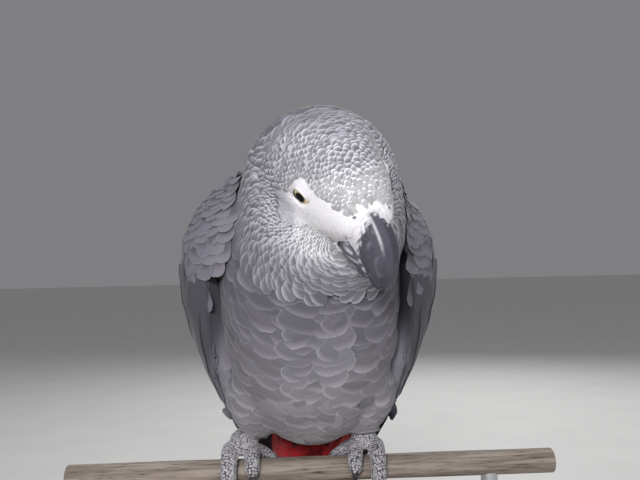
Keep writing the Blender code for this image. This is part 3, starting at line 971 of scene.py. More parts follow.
def dress(name: str, lay: Lay, cut: Cut, finish: Finish | bpy.types.Material, seed: int) -> Piece:
    """Builds closed vanes along their spines as one mesh.

    A vane is a grid of points. Point (s, u) lies at the spine's place s, moved u half widths across, raised by
    its height plus camber (1 - u^2), lowered by the skin's bend times its distance squared, and by the tip's curl.
    The lower face is the same grid, one thickness down, and shares the rim.

    Args:
        name: The piece's name.
        lay: Where the vanes lie.
        cut: Their shape.
        finish: Their finish, or a material that other pieces share.
        seed: The start of this piece's chance.

    Returns:
        The piece, riding on the root body.
    """
    rng = np.random.default_rng(seed)
    count, stations = lay.spine.shape[0], lay.spine.shape[1] - 1
    rows, columns = cut.rows + 1, cut.columns + 1
    down, across_share = np.linspace(0.0, 1.0, rows), np.linspace(-1.0, 1.0, columns)
    length = np.linalg.norm(np.diff(lay.spine, axis=1), axis=2).sum(axis=1)
    corner = (cut.rounding * lay.half / length)[:, None] * (1.0 - np.sqrt(1.0 - 0.985 * across_share**2))
    odd = (np.arange(columns) % 2) * 0.6 + 0.4
    end = 1.0 - np.minimum(corner, 0.8) - cut.fray * odd * rng.random((count, columns))
    along = down[None, :, None] * end[:, None, :]
    place = along * stations
    lower = np.minimum(place.astype(int), stations - 1)
    share = (place - lower)[..., None]
    index = np.arange(count)[:, None, None]
    sides = unit(np.cross(lay.normals, np.gradient(lay.spine, axis=1)))
    spine, normal, side = (values[index, lower] * (1.0 - share) + values[index, lower + 1] * share
                           for values in (lay.spine, lay.normals, sides))
    normal, side = unit(normal), unit(side)
    bend = np.take_along_axis(lay.bend, lower.reshape(count, -1), axis=1).reshape(lower.shape)
    outline = cut.root + (1.0 - cut.root) * np.sin(np.minimum(along / cut.widest, 1.0) * math.pi / 2.0)
    offset = across_share * outline * lay.half[:, None, None]
    tip = np.clip((down - CURL_FROM) / (1.0 - CURL_FROM), 0.0, 1.0)[None, :, None] ** 2
    height = lay.low[:, None, None] + (lay.high - lay.low)[:, None, None] * along**1.3
    arch = cut.camber * (1.0 - across_share**2) * (0.25 + 0.75 * along)
    height = height + lay.half[:, None, None] * (arch - cut.curl * tip)
    top = spine + side * offset[..., None] + normal * (height - bend * offset**2)[..., None]
    under = (top - normal * cut.thick)[:, 1:-1, 1:-1].reshape(count, -1, 3)
    each = rows * columns + under.shape[1]
    points = np.concatenate([top.reshape(count, -1, 3), under], axis=1).reshape(-1, 3)

    upper_index = np.arange(rows * columns).reshape(rows, columns)
    under_index = upper_index.copy()
    under_index[1:-1, 1:-1] = rows * columns + np.arange(under.shape[1]).reshape(rows - 2, columns - 2)
    quads = grid_quads(rows, columns)
    flipped = under_index.ravel()[quads][:, ::-1]
    quads = np.concatenate([quads, flipped])
    faces = (quads[None] + (np.arange(count) * each)[:, None, None]).reshape(-1, 4)

    colours = np.repeat(lay.colour, each, axis=0)
    piece = finished(name, points, faces, finish, colours=colours, crease=math.radians(70.0))
    chance = rng.random(count)
    local = np.empty((count, each, 3))
    grid = np.stack(np.broadcast_arrays(across_share[None, :], down[:, None]), axis=-1)
    local[:, : rows * columns, :2] = grid.reshape(-1, 2)
    local[:, rows * columns :, :2] = grid[1:-1, 1:-1].reshape(-1, 2)
    local[..., 2] = chance[:, None]
    set_vectors(piece, "vane", local.reshape(-1, 3))

    flat = local[0, :, :2]
    upper_uv = np.stack([(flat[:, 0] + 1.0) * 0.25, flat[:, 1]], axis=1) * PATCH
    upper_quads, under_quads = np.split(quads, 2)
    loops = np.concatenate([upper_uv[upper_quads], upper_uv[under_quads] + (PATCH * 0.5, 0.0)])
    uv = (loops.reshape(1, -1, 2) + lay.chart[:, None, :] - PATCH * 0.5).reshape(-1, 2)
    layer = piece.data.uv_layers.new(name="OFBake")
    layer.uv.foreach_set("vector", uv.astype(np.float32).ravel())
    LOG.info("%s: %d vanes, %d triangles", name, count, len(faces) * 2)
    return piece


@dataclass
class Tract:
    """A patch of skin whose feathers stand in rows across the lie of the coat."""

    ground: Ground
    region: Array
    sources: Array
    pitch: Array  # metres between rows, at each vertex
    apart: float | Array  # spacing along a row over the pitch
    seed: int
    wave: float = 0.25  # how far rows wander, in rows
    wave_length: float = 0.014
    calm: int = 3  # rounds of smoothing of the rows
    shift: float | Array = 0.0  # how far the tips stand above their row, in rows
    rows: Array = field(init=False)
    flow: Array = field(init=False)

    def __post_init__(self) -> None:
        """Counts the rows over the skin and finds the lie of the coat."""
        rows = self.ground.travel(self.sources, self.region, self.pitch)
        self.region = (self.region | self.sources) & (rows < 1e6)
        self.rows = self.ground.calm(rows, self.region, self.calm)
        self.flow = self.ground.slope(self.rows, self.region)

    def tips(self, grown: Array, candidates: int) -> Spots:
        """Picks the places of the feathers' tips, row by row.

        In a row each next tip is the free place nearest to those picked, with a preference for places that fall
        between the tips of the row before.

        Args:
            grown: Vertices where feathers may end.
            candidates: How many places to choose from.

        Returns:
            The places.
        """
        rng = np.random.default_rng(self.seed)
        spots = self.ground.scatter(1.0 / self.pitch**2, self.region & grown, candidates, rng)
        wander = Ripple(self.wave_length, self.seed).at(spots.points) * self.wave
        level = spots.read(self.rows + self.shift) + wander
        gaps = spots.read(self.pitch * self.apart)
        chosen, before = [], np.empty((0, 3))
        for row in range(1, int(level.max()) + 1):
            pool = np.flatnonzero(np.abs(level - row) < 0.15)
            if not len(pool):
                continue
            picked = pool[self.chain(spots.points[pool], gaps[pool], before)]
            chosen.append(picked)
            before = spots.points[picked]
        return spots.only(np.concatenate(chosen))

    @staticmethod
    def chain(places: Array, gaps: Array, before: Array) -> list[int]:
        """Picks places at least a gap apart, one after another along a row."""
        offset = np.full(len(places), 0.5)
        if len(before):
            to_before = np.linalg.norm(places[:, None] - before[None], axis=2).min(axis=1)
            offset = np.minimum(to_before / gaps, 1.0)
        picked, nearest = [], np.full(len(places), np.inf)
        best = int(np.argmax(offset))
        while True:
            picked.append(best)
            nearest = np.minimum(nearest, np.linalg.norm(places - places[best], axis=1) / gaps)
            score = np.where(nearest >= 1.0, np.minimum(nearest, 3.0) - 0.6 * offset, np.inf)
            best = int(np.argmin(score))
            if not np.isfinite(score[best]):
                return picked

    def lay(
        self, tips: Spots, sizes: Sizes, turn: Array, colour: Array, lift: float | Array = 1.0, up: Array | None = None
    ) -> Lay:
        """Runs a spine from each tip up against the lie of the coat.

        Args:
            tips: Where the feathers end.
            sizes: Their lengths, widths and heights, over the pitch there.
            turn: Each tip's first coordinate on the unwrap.
            colour: Each feather's colour.
            lift: The share of its height over the skin that each tip keeps.
            up: Each tip's second coordinate on the unwrap; its row where none is given.

        Returns:
            The lay.
        """
        rng = np.random.default_rng(self.seed + 1)
        count = len(tips.points)
        pitch = tips.read(self.pitch)
        vary = rng.normal(size=(count, 4))
        longest = np.maximum(tips.read(self.rows), 0.5) + 0.6
        length = pitch * np.minimum(sizes.length * (1.0 + 0.10 * vary[:, 0]), longest)
        half = pitch * sizes.half * (1.0 + 0.08 * vary[:, 1])
        astray = np.radians(sizes.yaw) * vary[:, 2]
        stations = sizes.stations
        spot, places, normals, ways = tips, [], [], []
        for step in range(stations + 1):
            normal = unit(spot.read(self.ground.normals))
            way = spot.read(self.flow)
            way = unit(way - (way * normal).sum(axis=1, keepdims=True) * normal)
            if places:
                way = np.where(np.isfinite(way).all(axis=1, keepdims=True), way, ways[-1])
            if step == 0:
                way = way * np.cos(astray)[:, None] + np.cross(normal, way) * np.sin(astray)[:, None]
            places.append(spot.points)
            normals.append(normal)
            ways.append(way)
            if step < stations:
                spot = self.ground.near(spot.points - way * (length / stations)[:, None])
        order = slice(None, None, -1)
        spine, normals = np.stack(places[order], axis=1), np.stack(normals[order], axis=1)
        ways = np.stack(ways[order], axis=1)
        side = unit(np.cross(normals, ways))
        bends = []
        for station in (stations // 2, stations):
            drops = []
            for sign in (-1.0, 1.0):
                foot = self.ground.near(spine[:, station] + side[:, station] * (sign * half)[:, None]).points
                drops.append(((spine[:, station] - foot) * normals[:, station]).sum(axis=1))
            bends.append(np.clip(sum(drops) / 2.0 / half**2, -0.2 / half, 0.6 / half))
        share = np.linspace(0.0, 1.0, stations + 1)[None]
        bend = bends[0][:, None] * (1.0 - share) + bends[1][:, None] * share
        high = sizes.high * (1.0 + 0.15 * vary[:, 3]) * lift
        chart = charted(turn, tips.read(self.rows) if up is None else up)
        return Lay(spine, normals, bend, half, np.full(count, sizes.low), high, colour, chart)


@dataclass(frozen=True)
class Sizes:
    """A feather's length and half width over the row pitch, and its heights over the skin in metres."""

    length: float | Array
    half: float | Array
    low: float
    high: float
    yaw: float = 5.0  # degrees of chance in its direction
    stations: int = 4


def charted(first: Array, second: Array) -> Array:
    """Two coordinates of an unwrap, each spread over 0.02 to 0.98."""
    both = np.stack([first, second], axis=1)
    low, high = both.min(axis=0), both.max(axis=0)
    return 0.02 + 0.96 * (both - low) / np.maximum(high - low, 1e-9)


# ---- skin and coat


def filled(ground: Ground, share: Array, rounds: int) -> Ground:
    """The ground with its creases filled: each round moves a vertex out to its neighbours' mean, never in."""
    points = ground.points
    for _ in range(rounds):
        gap = ground.calm(points, ground.everywhere, 1) - points
        out = np.maximum((gap * ground.normals).sum(axis=1, keepdims=True), 0.0)
        points = points + ground.normals * out * share[:, None]
    return Ground(points, ground.quads)


@dataclass
class Body:
    """Head, neck, trunk and thighs: one skin, and the coat on it."""

    head: HeadFrame
    plumage: Plumage
    nodes: Nodes
    flesh: tuple[str, ...] = ("head", "neck", "trunk", "thigh_left", "thigh_right")  # parts 0 to 4
    bills: tuple[str, ...] = ("bill_upper", "bill_lower")
    recast: Recast = Recast(voxel=0.0013, swell=0.0005, rounds=8)
    face_coat: float = 0.25  # depth of the coat over the skin, millimetres
    hood_coat: float = 1.7
    body_coat: float = 2.6
    furrow_x: float = 0.6  # the parting down the middle of the breast, millimetres
    furrow_deep: float = 2.2
    furrow_wide: float = 4.5
    lid_edge: float = 0.0078  # beads and down end no nearer to an eye's middle than this, metres
    back_y: float = 0.012  # the back's feathers begin behind this, metres
    belly_top: float = 38.0  # millimetres above the perch
    fine: Cut = Cut(6, 5, root=0.45, rounding=0.75, camber=0.20, curl=0.26, thick=0.00016)
    broad: Cut = Cut(10, 6, root=0.45, rounding=0.42, fray=0.03, camber=0.10, curl=0.22, thick=0.0002)
    soft: Cut = Cut(20, 8, root=0.5, rounding=0.66, fray=0.03, camber=0.04, curl=0.13, thick=0.00025)
    loose: Cut = Cut(12, 7, root=0.5, rounding=0.5, fray=0.04, camber=0.10, curl=0.26, thick=0.00025)
    hair: Cut = Cut(2, 3, root=0.8, widest=0.2, rounding=1.3, camber=0.5, curl=0.4, thick=0.00005)
    from_seam: Array = field(init=False)  # distance from the seam between neck and trunk, millimetres

    def __post_init__(self) -> None:
        """Casts the skin, one coat's depth under the solids and deeper along the breast's parting."""
        solids = [self.nodes[name] for name in self.flesh]
        points, quads = self.recast.cast(solids)
        self.part = owners(points, solids)
        depth = np.where(self.part <= 1, self.hood_coat, self.body_coat)
        away = self.plumage.from_mask(points, 1.0, 1.0)
        depth = self.face_coat + (depth - self.face_coat) * np.where(self.part <= 1, ease(4.0, 26.0, away), 1.0)
        height = self.plumage.height(points)
        groove = np.exp(-((points[:, 0] / MM - self.furrow_x) / self.furrow_wide) ** 2)
        groove *= ease(8.0, 20.0, height) * (1.0 - ease(60.0, 80.0, height)) * (points[:, 1] < 0.0) * (self.part == 2)
        cast = Ground(points, quads)
        depth = cast.calm(depth + groove * self.furrow_deep, cast.everywhere, 2)
        self.ground = cast.below(depth[:, None])

    def skin(self) -> None:
        """The skin's piece, which stands for the flesh: sunk round the eyes and drawn on to the bill's base. Under the
        feathers its colour is darkened as painted shade, for the gaps between them.
        """
        points = self.ground.points.copy()
        for side, sign in SIDES:
            low, high = corners("eye_" + side)
            gap = np.linalg.norm(points - (low + high) / 2.0, axis=1) / MM
            points += self.head.turned((-0.35, -0.9 * sign, 0.1)) * ((1.0 - ease(6.4, 7.6, gap)) * 1.4 * MM)[:, None]
        for name in self.bills:
            tree, _ = search_tree([self.nodes[name]])
            found = [tree.find_nearest(point, 0.002) for point in points.tolist()]
            close = np.array([hit[0] is not None for hit in found])
            gap = np.array([hit[0][:] for hit in found if hit[0] is not None]) - points[close]
            size = np.linalg.norm(gap, axis=1, keepdims=True)
            share = 1.0 - ease(0.7 * MM, 1.7 * MM, size)
            points[close] += gap * (1.0 + 0.25 * MM / np.maximum(size, 1e-6)) * share
        flesh = self.ground.points
        coat = np.where((self.part <= 1)[:, None], self.plumage.hood(flesh), self.plumage.body(flesh))
        # Painted shade: away from the white face the skin's colour drops to 0.55, so the gaps between feathers read as
        # shadow.
        dark = 0.55 + 0.45 * ease(0.15, 0.6, self.plumage.pale(flesh))
        finished("skin", points, self.ground.quads, BARE_SKIN, self.flesh, coat * dark[:, None])

    def draped(self) -> Ground:
        """The skin with the crease under the head filled, for the ruff to hang over."""
        seam = (self.part >= 2) & (self.part[self.ground.ring] <= 1).any(axis=1)
        self.from_seam = self.ground.travel(seam, self.ground.everywhere, np.full(len(seam), MM))
        return filled(self.ground, 1.0 - ease(9.0, 15.0, self.from_seam), 70)

    def hood(self) -> None:
        """The feathers of head and neck, in rings round the face that grow with their distance from it.

        Behind the crown the rings would run sideways over the nape, which has rows of its own.
        """
        plumage, ground = self.plumage, self.draped()
        points = ground.points
        tree, _ = search_tree([self.nodes[name] for name in self.bills])
        near = np.array([tree.find_nearest(point)[3] for point in points.tolist()])
        height = plumage.height(points)
        nape = 9.0 * ease(98.0, 106.0, height) + 8.0 * ease(0.0, 0.4, ground.normals[:, 1]) * ease(84.0, 94.0, height)
        hood = (self.part <= 1) | (self.from_seam < 1.0 + 2.5 * ease(15.0, 40.0, -points[:, 1] / MM) + nape)
        away = plumage.from_mask(points, 1.0, 1.0)
        pitch = np.interp(away, (0.0, 4.0, 12.0, 25.0, 45.0, 80.0), (0.85, 0.95, 1.2, 1.5, 1.9, 2.7))
        rise = self.head.local(points)[:, 2]
        pitch = ground.calm(pitch * np.where((rise < 0.0) & (away < 24.0), 0.62, 1.0), ground.everywhere, 5) * MM
        eyes = np.array([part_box(name)[0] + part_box(name)[1] for name in ("eye_left", "eye_right")]) / 2.0
        from_eye = np.min([np.linalg.norm(points - eye, axis=1) for eye in eyes], axis=0)
        passing = pitch * (1.0 + 0.7 * (1.0 - ease(0.006, 0.009, from_eye)))
        apart = np.interp(away, (8.0, 24.0, 32.0, 44.0, 60.0), (1.8, 2.4, 3.2, 3.6, 2.5))
        tract = Tract(ground, hood, hood & (near < 0.0016), passing, apart, 11, wave=0.24, wave_length=0.012, calm=9)
        tract.pitch = pitch
        bare = plumage.bare(points) > 0.5
        rise = ease(-1.0, 3.0, rise)
        fuzz = (3.6 + 3.6 * rise + 2.2 * (Ripple(0.004, 7).at(points) - 1.0) * rise) * MM
        down = (plumage.down(points) > 0.5) | (near < fuzz)
        over = ground.calm(ground.normals @ np.array((0.0, 0.45, 0.9)), ground.everywhere, 6)
        behind = hood & (over > 0.2) & (away > 42.0)
        tips = tract.tips(~bare & ~down & ~behind & (from_eye > self.lid_edge), 230000)
        away_tip = plumage.from_mask(tips.points, 1.0, 1.0)
        place = self.head.local(tips.points)
        turn = np.arctan2(place[:, 1], place[:, 2])
        sizes = Sizes(length=3.4, half=0.63 * tips.read(apart), low=0.1 * MM, high=1.3 * MM)
        lay = tract.lay(tips, sizes, turn, plumage.hood(tips.points), 0.3 + 0.7 * ease(4.0, 28.0, away_tip))
        crown, white = away_tip < 24.0, plumage.pale(tips.points) > 0.6
        dress("coat_crown", lay.only(crown & ~white), self.fine, HOOD_VANES, 21)
        dress("coat_brow", lay.only(crown & white), self.fine, PALE_VANES, 26)
        for side, sign in SIDES:
            chosen = ~crown & (place[:, 1] * sign > 0.0)
            dress("coat_ruff_" + side, lay.only(chosen), self.broad, RUFF_VANES, 22)
        rows = Tract(ground, behind, behind & (away < 44.5), pitch, 2.2, 13, wave=0.24, wave_length=0.012)
        tips = rows.tips(behind, 60000)
        turn = tips.points[:, 0]
        sizes = Sizes(length=3.4, half=1.4, low=0.1 * MM, high=1.3 * MM)
        lay = rows.lay(tips, sizes, turn, plumage.hood(tips.points))
        dress("coat_nape", lay, self.broad, RUFF_VANES, 25)
        self.face(tract, hood & down & ~bare & (from_eye > self.lid_edge), hood & bare & (from_eye > 0.0085))

    def face(self, tract: Tract, downy: Array, bare: Array) -> None:
        """The fine white down round the mask, and the few hairs on the bare skin.

        Args:
            tract: The hood's rows, which give the lie.
            downy: Vertices that the down grows on.
            bare: Vertices that the hairs grow on.
        """
        rng = np.random.default_rng(23)
        ground, finish = self.ground, DOWN_HAIRS.material()
        tract = copy.copy(tract)
        tract.ground = ground  # the same rows and lie on the skin itself, which has the same vertices
        for name, region, count, sizes in (
            ("coat_face_down", downy, 7600, Sizes(length=2.8, half=0.22, low=0.05 * MM, high=0.32 * MM, yaw=8.0)),
            ("coat_face_hairs", bare, 900, Sizes(length=1.6, half=0.07, low=0.02 * MM, high=0.2 * MM, yaw=20.0)),
        ):
            tips = ground.scatter(np.ones(len(ground.points)), region, count, rng)
            place = self.head.local(tips.points)
            turn = np.arctan2(place[:, 1], place[:, 2])
            colour = self.plumage.hood(tips.points) * (0.98 + 0.06 * rng.random((count, 1)))
            lay = tract.lay(tips, sizes, turn, colour, up=place[:, 0])
            dress(name, lay, self.hair, finish, 24)

    def coat(self) -> None:
        """The feathers of trunk and thighs, in rows that run down from under the hood."""
        ground, plumage = self.ground, self.plumage
        trunk, legs = self.part >= 2, self.part >= 3
        seam = trunk & (self.part[ground.ring] <= 1).any(axis=1)
        height = plumage.height(ground.points)
        pitch = np.interp(height, (5.0, 15.0, 40.0, 70.0, 95.0), (2.1, 2.6, 3.1, 3.0, 2.5))
        pitch = np.minimum(pitch, 2.1 + 0.10 * self.from_seam)
        pitch *= MM
        apart = np.where(legs | (ground.points[:, 1] > self.back_y), 3.4, 6.0)
        pitch = ground.calm(pitch, ground.everywhere, 4)
        parting = np.exp(-((ground.points[:, 0] / MM - self.furrow_x) / 5.5) ** 2) * (ground.points[:, 1] < 0.0)
        parting *= ease(4.0, 14.0, height) * (1.0 - ease(66.0, 82.0, height))
        tract = Tract(ground, trunk, seam, pitch, apart, 12, wave=0.45, wave_length=0.022, shift=1.2 * parting)
        low_end = float(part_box("thigh_left")[0][2] - plumage.perch_top) / MM
        tips = tract.tips(trunk & ~(legs & (height < low_end + 1.5)), 150000)
        place = tips.points
        height = plumage.height(place)
        turn = np.arctan2(place[:, 0], -place[:, 1])
        leg = tips.read(legs.astype(float)) > 0.5
        cuff = leg * (1.0 - ease(low_end + 3.0, low_end + 16.0, height))
        sizes = Sizes(length=4.6 - 1.6 * cuff, half=tips.read(apart) * (0.62 - 0.2 * cuff), low=0.2 * MM, high=1.7 * MM,
                      yaw=4.0, stations=5)
        lay = tract.lay(tips, sizes, turn, plumage.body(place), 1.0 - 0.85 * cuff)
        chord = place - np.where((lay.spine[:, :1] == place[:, None]).all(axis=2), lay.spine[:, -1], lay.spine[:, 0])
        drop = -chord[:, 2] / np.maximum(np.linalg.norm(chord, axis=1), 1e-6)
        hanging = drop > np.where(leg, 0.45, -0.9)
        finish = BREAST_VANES.material()
        low, back = height < self.belly_top, place[:, 1] > self.back_y
        for name, chosen, cut, seed in (
            ("coat_breast", ~leg & ~low & ~back, self.soft, 31),
            ("coat_belly", ~leg & low & ~back, self.soft, 32),
            ("coat_back", ~leg & back, replace(self.soft, columns=10), 33),
            ("coat_thigh_left", leg & (place[:, 0] > 0.0), self.loose, 34),
            ("coat_thigh_right", leg & (place[:, 0] <= 0.0), self.loose, 35),
        ):
            dress(name, lay.only(chosen & hanging), cut, finish, seed)


# ---- wings and tail


FIRST_ROW = 2.2  # on wing and shawl no feather ends nearer to the top than this many rows


@dataclass
class Quill:
    """One row of long feathers on the folded wing, as shares across it (0 front edge, 1 back edge) and heights.

    Values run from the row's first feather, at the front, to its last.
    """

    name: str
    count: int
    root_across: tuple[float, float]
    root_height: tuple[float, float]
    tip_across: tuple[float, float]
    tip_height: tuple[float, float]
    half: float  # millimetres
    lift: tuple[float, float]  # millimetres over the core, at the root and at the tip
    bow: float = 1.0  # how the tips' heights run: over 1, the first feathers keep close to the first height


WING_ROWS = (
    Quill("primaries", 10, (0.10, 0.42), (58.0, 60.0), (0.30, 0.85), (-67.0, -24.0), 6.2, (0.3, 0.5), 1.2),
    Quill("secondaries", 11, (0.16, 0.92), (66.0, 74.0), (0.22, 0.96), (-8.0, 22.0), 7.0, (0.8, 1.2)),
    Quill("primary_coverts", 8, (0.03, 0.30), (86.0, 80.0), (0.07, 0.42), (22.0, 34.0), 5.2, (1.1, 1.5)),
    Quill("greater_coverts", 12, (0.20, 0.97), (92.0, 96.0), (0.22, 0.97), (46.0, 58.0), 7.0, (1.5, 1.9)),
)


@dataclass
class Wing:
    """A folded wing: a core, rows of long feathers down it, and small coverts over their roots."""

    side: str
    sign: float
    plumage: Plumage
    nodes: Nodes
    recast: Recast = Recast(voxel=0.0013, rounds=5)
    coat: float = 1.3  # millimetres from the core to the solid's outline
    slab: float = 3.0  # millimetres of height read at once for the wing's edges
    axis_y: float = 14.0  # the wing wraps round an upright line at this y, millimetres
    flank_top: float = 104.0  # millimetres above the perch
    flank_end: float = 10.0
    flank_count: int = 6
    bend: float = 0.012 / 0.04 / 0.04 * 0.5  # fall of the face over the distance squared: half of 12 mm at 40 mm
    long: Cut = Cut(10, 18, root=0.35, widest=0.3, rounding=1.5, fray=0.004, camber=0.10, curl=0.05, thick=0.0003)
    short: Cut = Cut(12, 12, root=0.4, widest=0.35, rounding=0.95, fray=0.012, camber=0.12, curl=0.08, thick=0.0003)

    def __post_init__(self) -> None:
        """Casts the core and measures the angles of its edges at each height."""
        self.node = "wing_" + self.side
        cast = Ground(*self.recast.cast([self.nodes[self.node]]))
        thin = 0.35 + (self.coat - 0.35) * ease(-60.0, 20.0, self.plumage.height(cast.points))
        self.ground = cast.below(thin[:, None])
        flat = self.ground.points - (0.0, self.axis_y * MM, 0.0)
        flat[:, 2] = 0.0
        self.outer = (unit(flat) * self.ground.normals).sum(axis=1) > 0.1
        angles = np.arctan2(flat[:, 1], flat[:, 0] * self.sign)
        height = self.plumage.height(self.ground.points)
        self.levels = np.arange(height.min() + 1.0, height.max() - 1.0, 2.5)
        edges = []
        for level in self.levels:
            inside = angles[(np.abs(height - level) < self.slab) & self.outer]
            edges.append((inside.min(), inside.max()))
        self.edges = settled(np.array(edges), 6)

    def place(self, across: Array, height: Array) -> Spots:
        """Places on the wing's outer face.

        Args:
            across: 0 at the front edge to 1 at the back edge.
            height: Millimetres above the perch.

        Returns:
            The places, where level rays from outside meet the core.
        """
        first = np.interp(height, self.levels, self.edges[:, 0])
        last = np.interp(height, self.levels, self.edges[:, 1])
        angle = first + (last - first) * across
        way = np.stack([np.cos(angle) * self.sign, np.sin(angle), np.zeros_like(angle)], axis=1)
        level = np.clip(height, self.levels[0], self.levels[-1]) * MM + self.plumage.perch_top
        axis = np.stack([np.zeros_like(level), np.full_like(level, self.axis_y * MM), level], axis=1)
        return self.ground.struck(axis + way * 0.15, -way)

    def core(self) -> None:
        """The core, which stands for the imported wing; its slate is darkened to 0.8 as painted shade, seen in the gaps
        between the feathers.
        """
        points = self.ground.points
        # Painted shade: the core is the wing's slate times 0.8.
        finished(f"wing_{self.side}_core", points, self.ground.quads, BARE_SKIN, (self.node,),
                 self.plumage.wing(points) * 0.8)

    def quills(self, row: Quill, seed: int) -> Lay:
        """The lay of one row of long feathers."""
        rng = np.random.default_rng(seed)
        share = np.linspace(0.0, 1.0, row.count)
        stations = 14
        down = np.linspace(0.0, 1.0, stations + 1)
        along = share[:, None] ** row.bow
        tip_height = between(row.tip_height, along) + rng.normal(0.0, 1.2, (row.count, 1))
        root_height = between(row.root_height, share[:, None])
        root_across = between(row.root_across, share[:, None])
        tip_across = between(row.tip_across, share[:, None])
        height = root_height + (tip_height - root_height) * down
        across = root_across + (tip_across - root_across) * down**1.2
        spots = self.place(across.ravel(), height.ravel())
        spine = spots.points.reshape(row.count, -1, 3)
        normals = unit(spots.read(self.ground.normals)).reshape(row.count, -1, 3)
        half = np.full(row.count, row.half * MM) * (1.0 + 0.05 * rng.normal(size=row.count))
        half *= np.interp(share, (0.0, 0.15, 1.0), (0.75, 1.0, 1.0))
        bend = np.full((row.count, stations + 1), self.bend)
        stack = np.linspace(0.0, 0.5, row.count) * MM
        low = row.lift[0] * MM + stack
        high = row.lift[1] * MM + stack
        chart = 0.05 + 0.9 * np.stack([share, np.full(row.count, (seed % 7) / 7.0)], axis=1)
        return Lay(spine, normals, bend, half, low, high, self.plumage.wing(spine[:, -4]), chart)

    def flank(self, body: Body) -> None:
        """Long narrow feathers that close the cleft between the breast's side and the wing's front edge.

        At each height a spine lies between the trunk's outermost point and the wing's foremost one.
        """
        levels = np.linspace(self.flank_top, self.flank_end, 15)
        wing_height, body_height = self.plumage.height(self.ground.points), self.plumage.height(body.ground.points)
        trunk = body.part >= 2
        sides, fronts = [], []
        for level in levels:
            near = np.flatnonzero((np.abs(body_height - level) < 2.0) & trunk)
            sides.append(body.ground.points[near[np.argmax(body.ground.points[near, 0] * self.sign)]])
            near = np.flatnonzero((np.abs(wing_height - level) < 2.0) & self.outer)
            fronts.append(self.ground.points[near[np.argmin(self.ground.points[near, 1])]])
        side, front = settled(np.array(sides), 3), settled(np.array(fronts), 3)
        share = np.linspace(0.05, 0.95, self.flank_count)
        count, stations = len(share), 12
        down = np.linspace(0.0, 1.0, stations + 1)
        stop = 1.0 - 0.45 * (1.0 - share[:, None]) ** 1.3
        row = down * stop * (len(levels) - 1)
        lower = np.minimum(row.astype(int), len(levels) - 2)
        part = (row - lower)[..., None]
        at_side = side[lower] * (1.0 - part) + side[lower + 1] * part
        at_front = front[lower] * (1.0 - part) + front[lower + 1] * part
        spine = at_side + (at_front - at_side) * share[:, None, None]
        across = unit(at_front - at_side)
        way = unit(np.gradient(spine, axis=1))
        normals = unit(np.cross(across, way) * self.sign)
        normals *= np.where(normals[..., 1:2] > 0.0, -1.0, 1.0)
        zeros = np.zeros(count)
        stack = (0.2 + 1.6 * (1.0 - share)) * MM
        chart = 0.05 + 0.9 * np.stack([share / 1.2, zeros + 0.97], axis=1)
        colour = mixed(self.plumage.body(spine[:, 5]), self.plumage.wing(spine[:, 5]), share)
        bend = np.full((count, stations + 1), 12.0)
        lay = Lay(spine, normals, bend, zeros + 3.0 * MM, stack * 0.3 - 0.9 * MM, stack, colour, chart)
        cut = Cut(10, 20, root=0.5, widest=0.35, rounding=1.2, fray=0.012, camber=0.14, curl=0.12, thick=0.00025)
        dress(f"wing_{self.side}_flank", lay, cut, COVERT_VANES, 57)

    def build(self) -> None:
        """Core, long feathers and coverts."""
        self.core()
        flight, covert = FLIGHT_VANES.material(), COVERT_VANES.material()
        for index, row in enumerate(WING_ROWS):
            lay = self.quills(row, 41 + index)
            if row.name == "primaries":
                lay = replace(lay, colour=np.broadcast_to(linear("43454c"), lay.colour.shape))
            cut, finish = (self.long, flight) if index < 2 else (self.short, covert)
            dress(f"wing_{self.side}_{row.name}", lay, cut, finish, 51 + index)
        ground = self.ground
        height = self.plumage.height(ground.points)
        top = height > height.max() - 1.2
        pitch = np.interp(height, (60.0, 85.0, 110.0, 135.0), (7.0, 5.8, 4.4, 3.3)) * MM
        front = self.outer | (ground.normals[:, 1] < -0.35) | (ground.normals[:, 2] > 0.15)
        tract = Tract(ground, front & (height > 58.0), top & front, pitch, 1.45, 61, wave=0.12, wave_length=0.03)
        tips = tract.tips(front & (height > 66.0) & (tract.rows > FIRST_ROW), 50000)
        turn = np.arctan2(tips.points[:, 1], tips.points[:, 0] * self.sign)
        sizes = Sizes(length=2.8, half=1.05, low=0.4 * MM, high=1.3 * MM, yaw=4.0)
        lift = 0.3 + 0.7 * ease(2.0, 6.0, tips.read(tract.rows))
        lay = tract.lay(tips, sizes, turn, self.plumage.wing(tips.points), lift)
        cut = Cut(14, 7, root=0.45, rounding=0.75, fray=0.03, camber=0.03, curl=0.07, thick=0.0002)
        dress(f"wing_{self.side}_coverts", lay, cut, covert, 62)


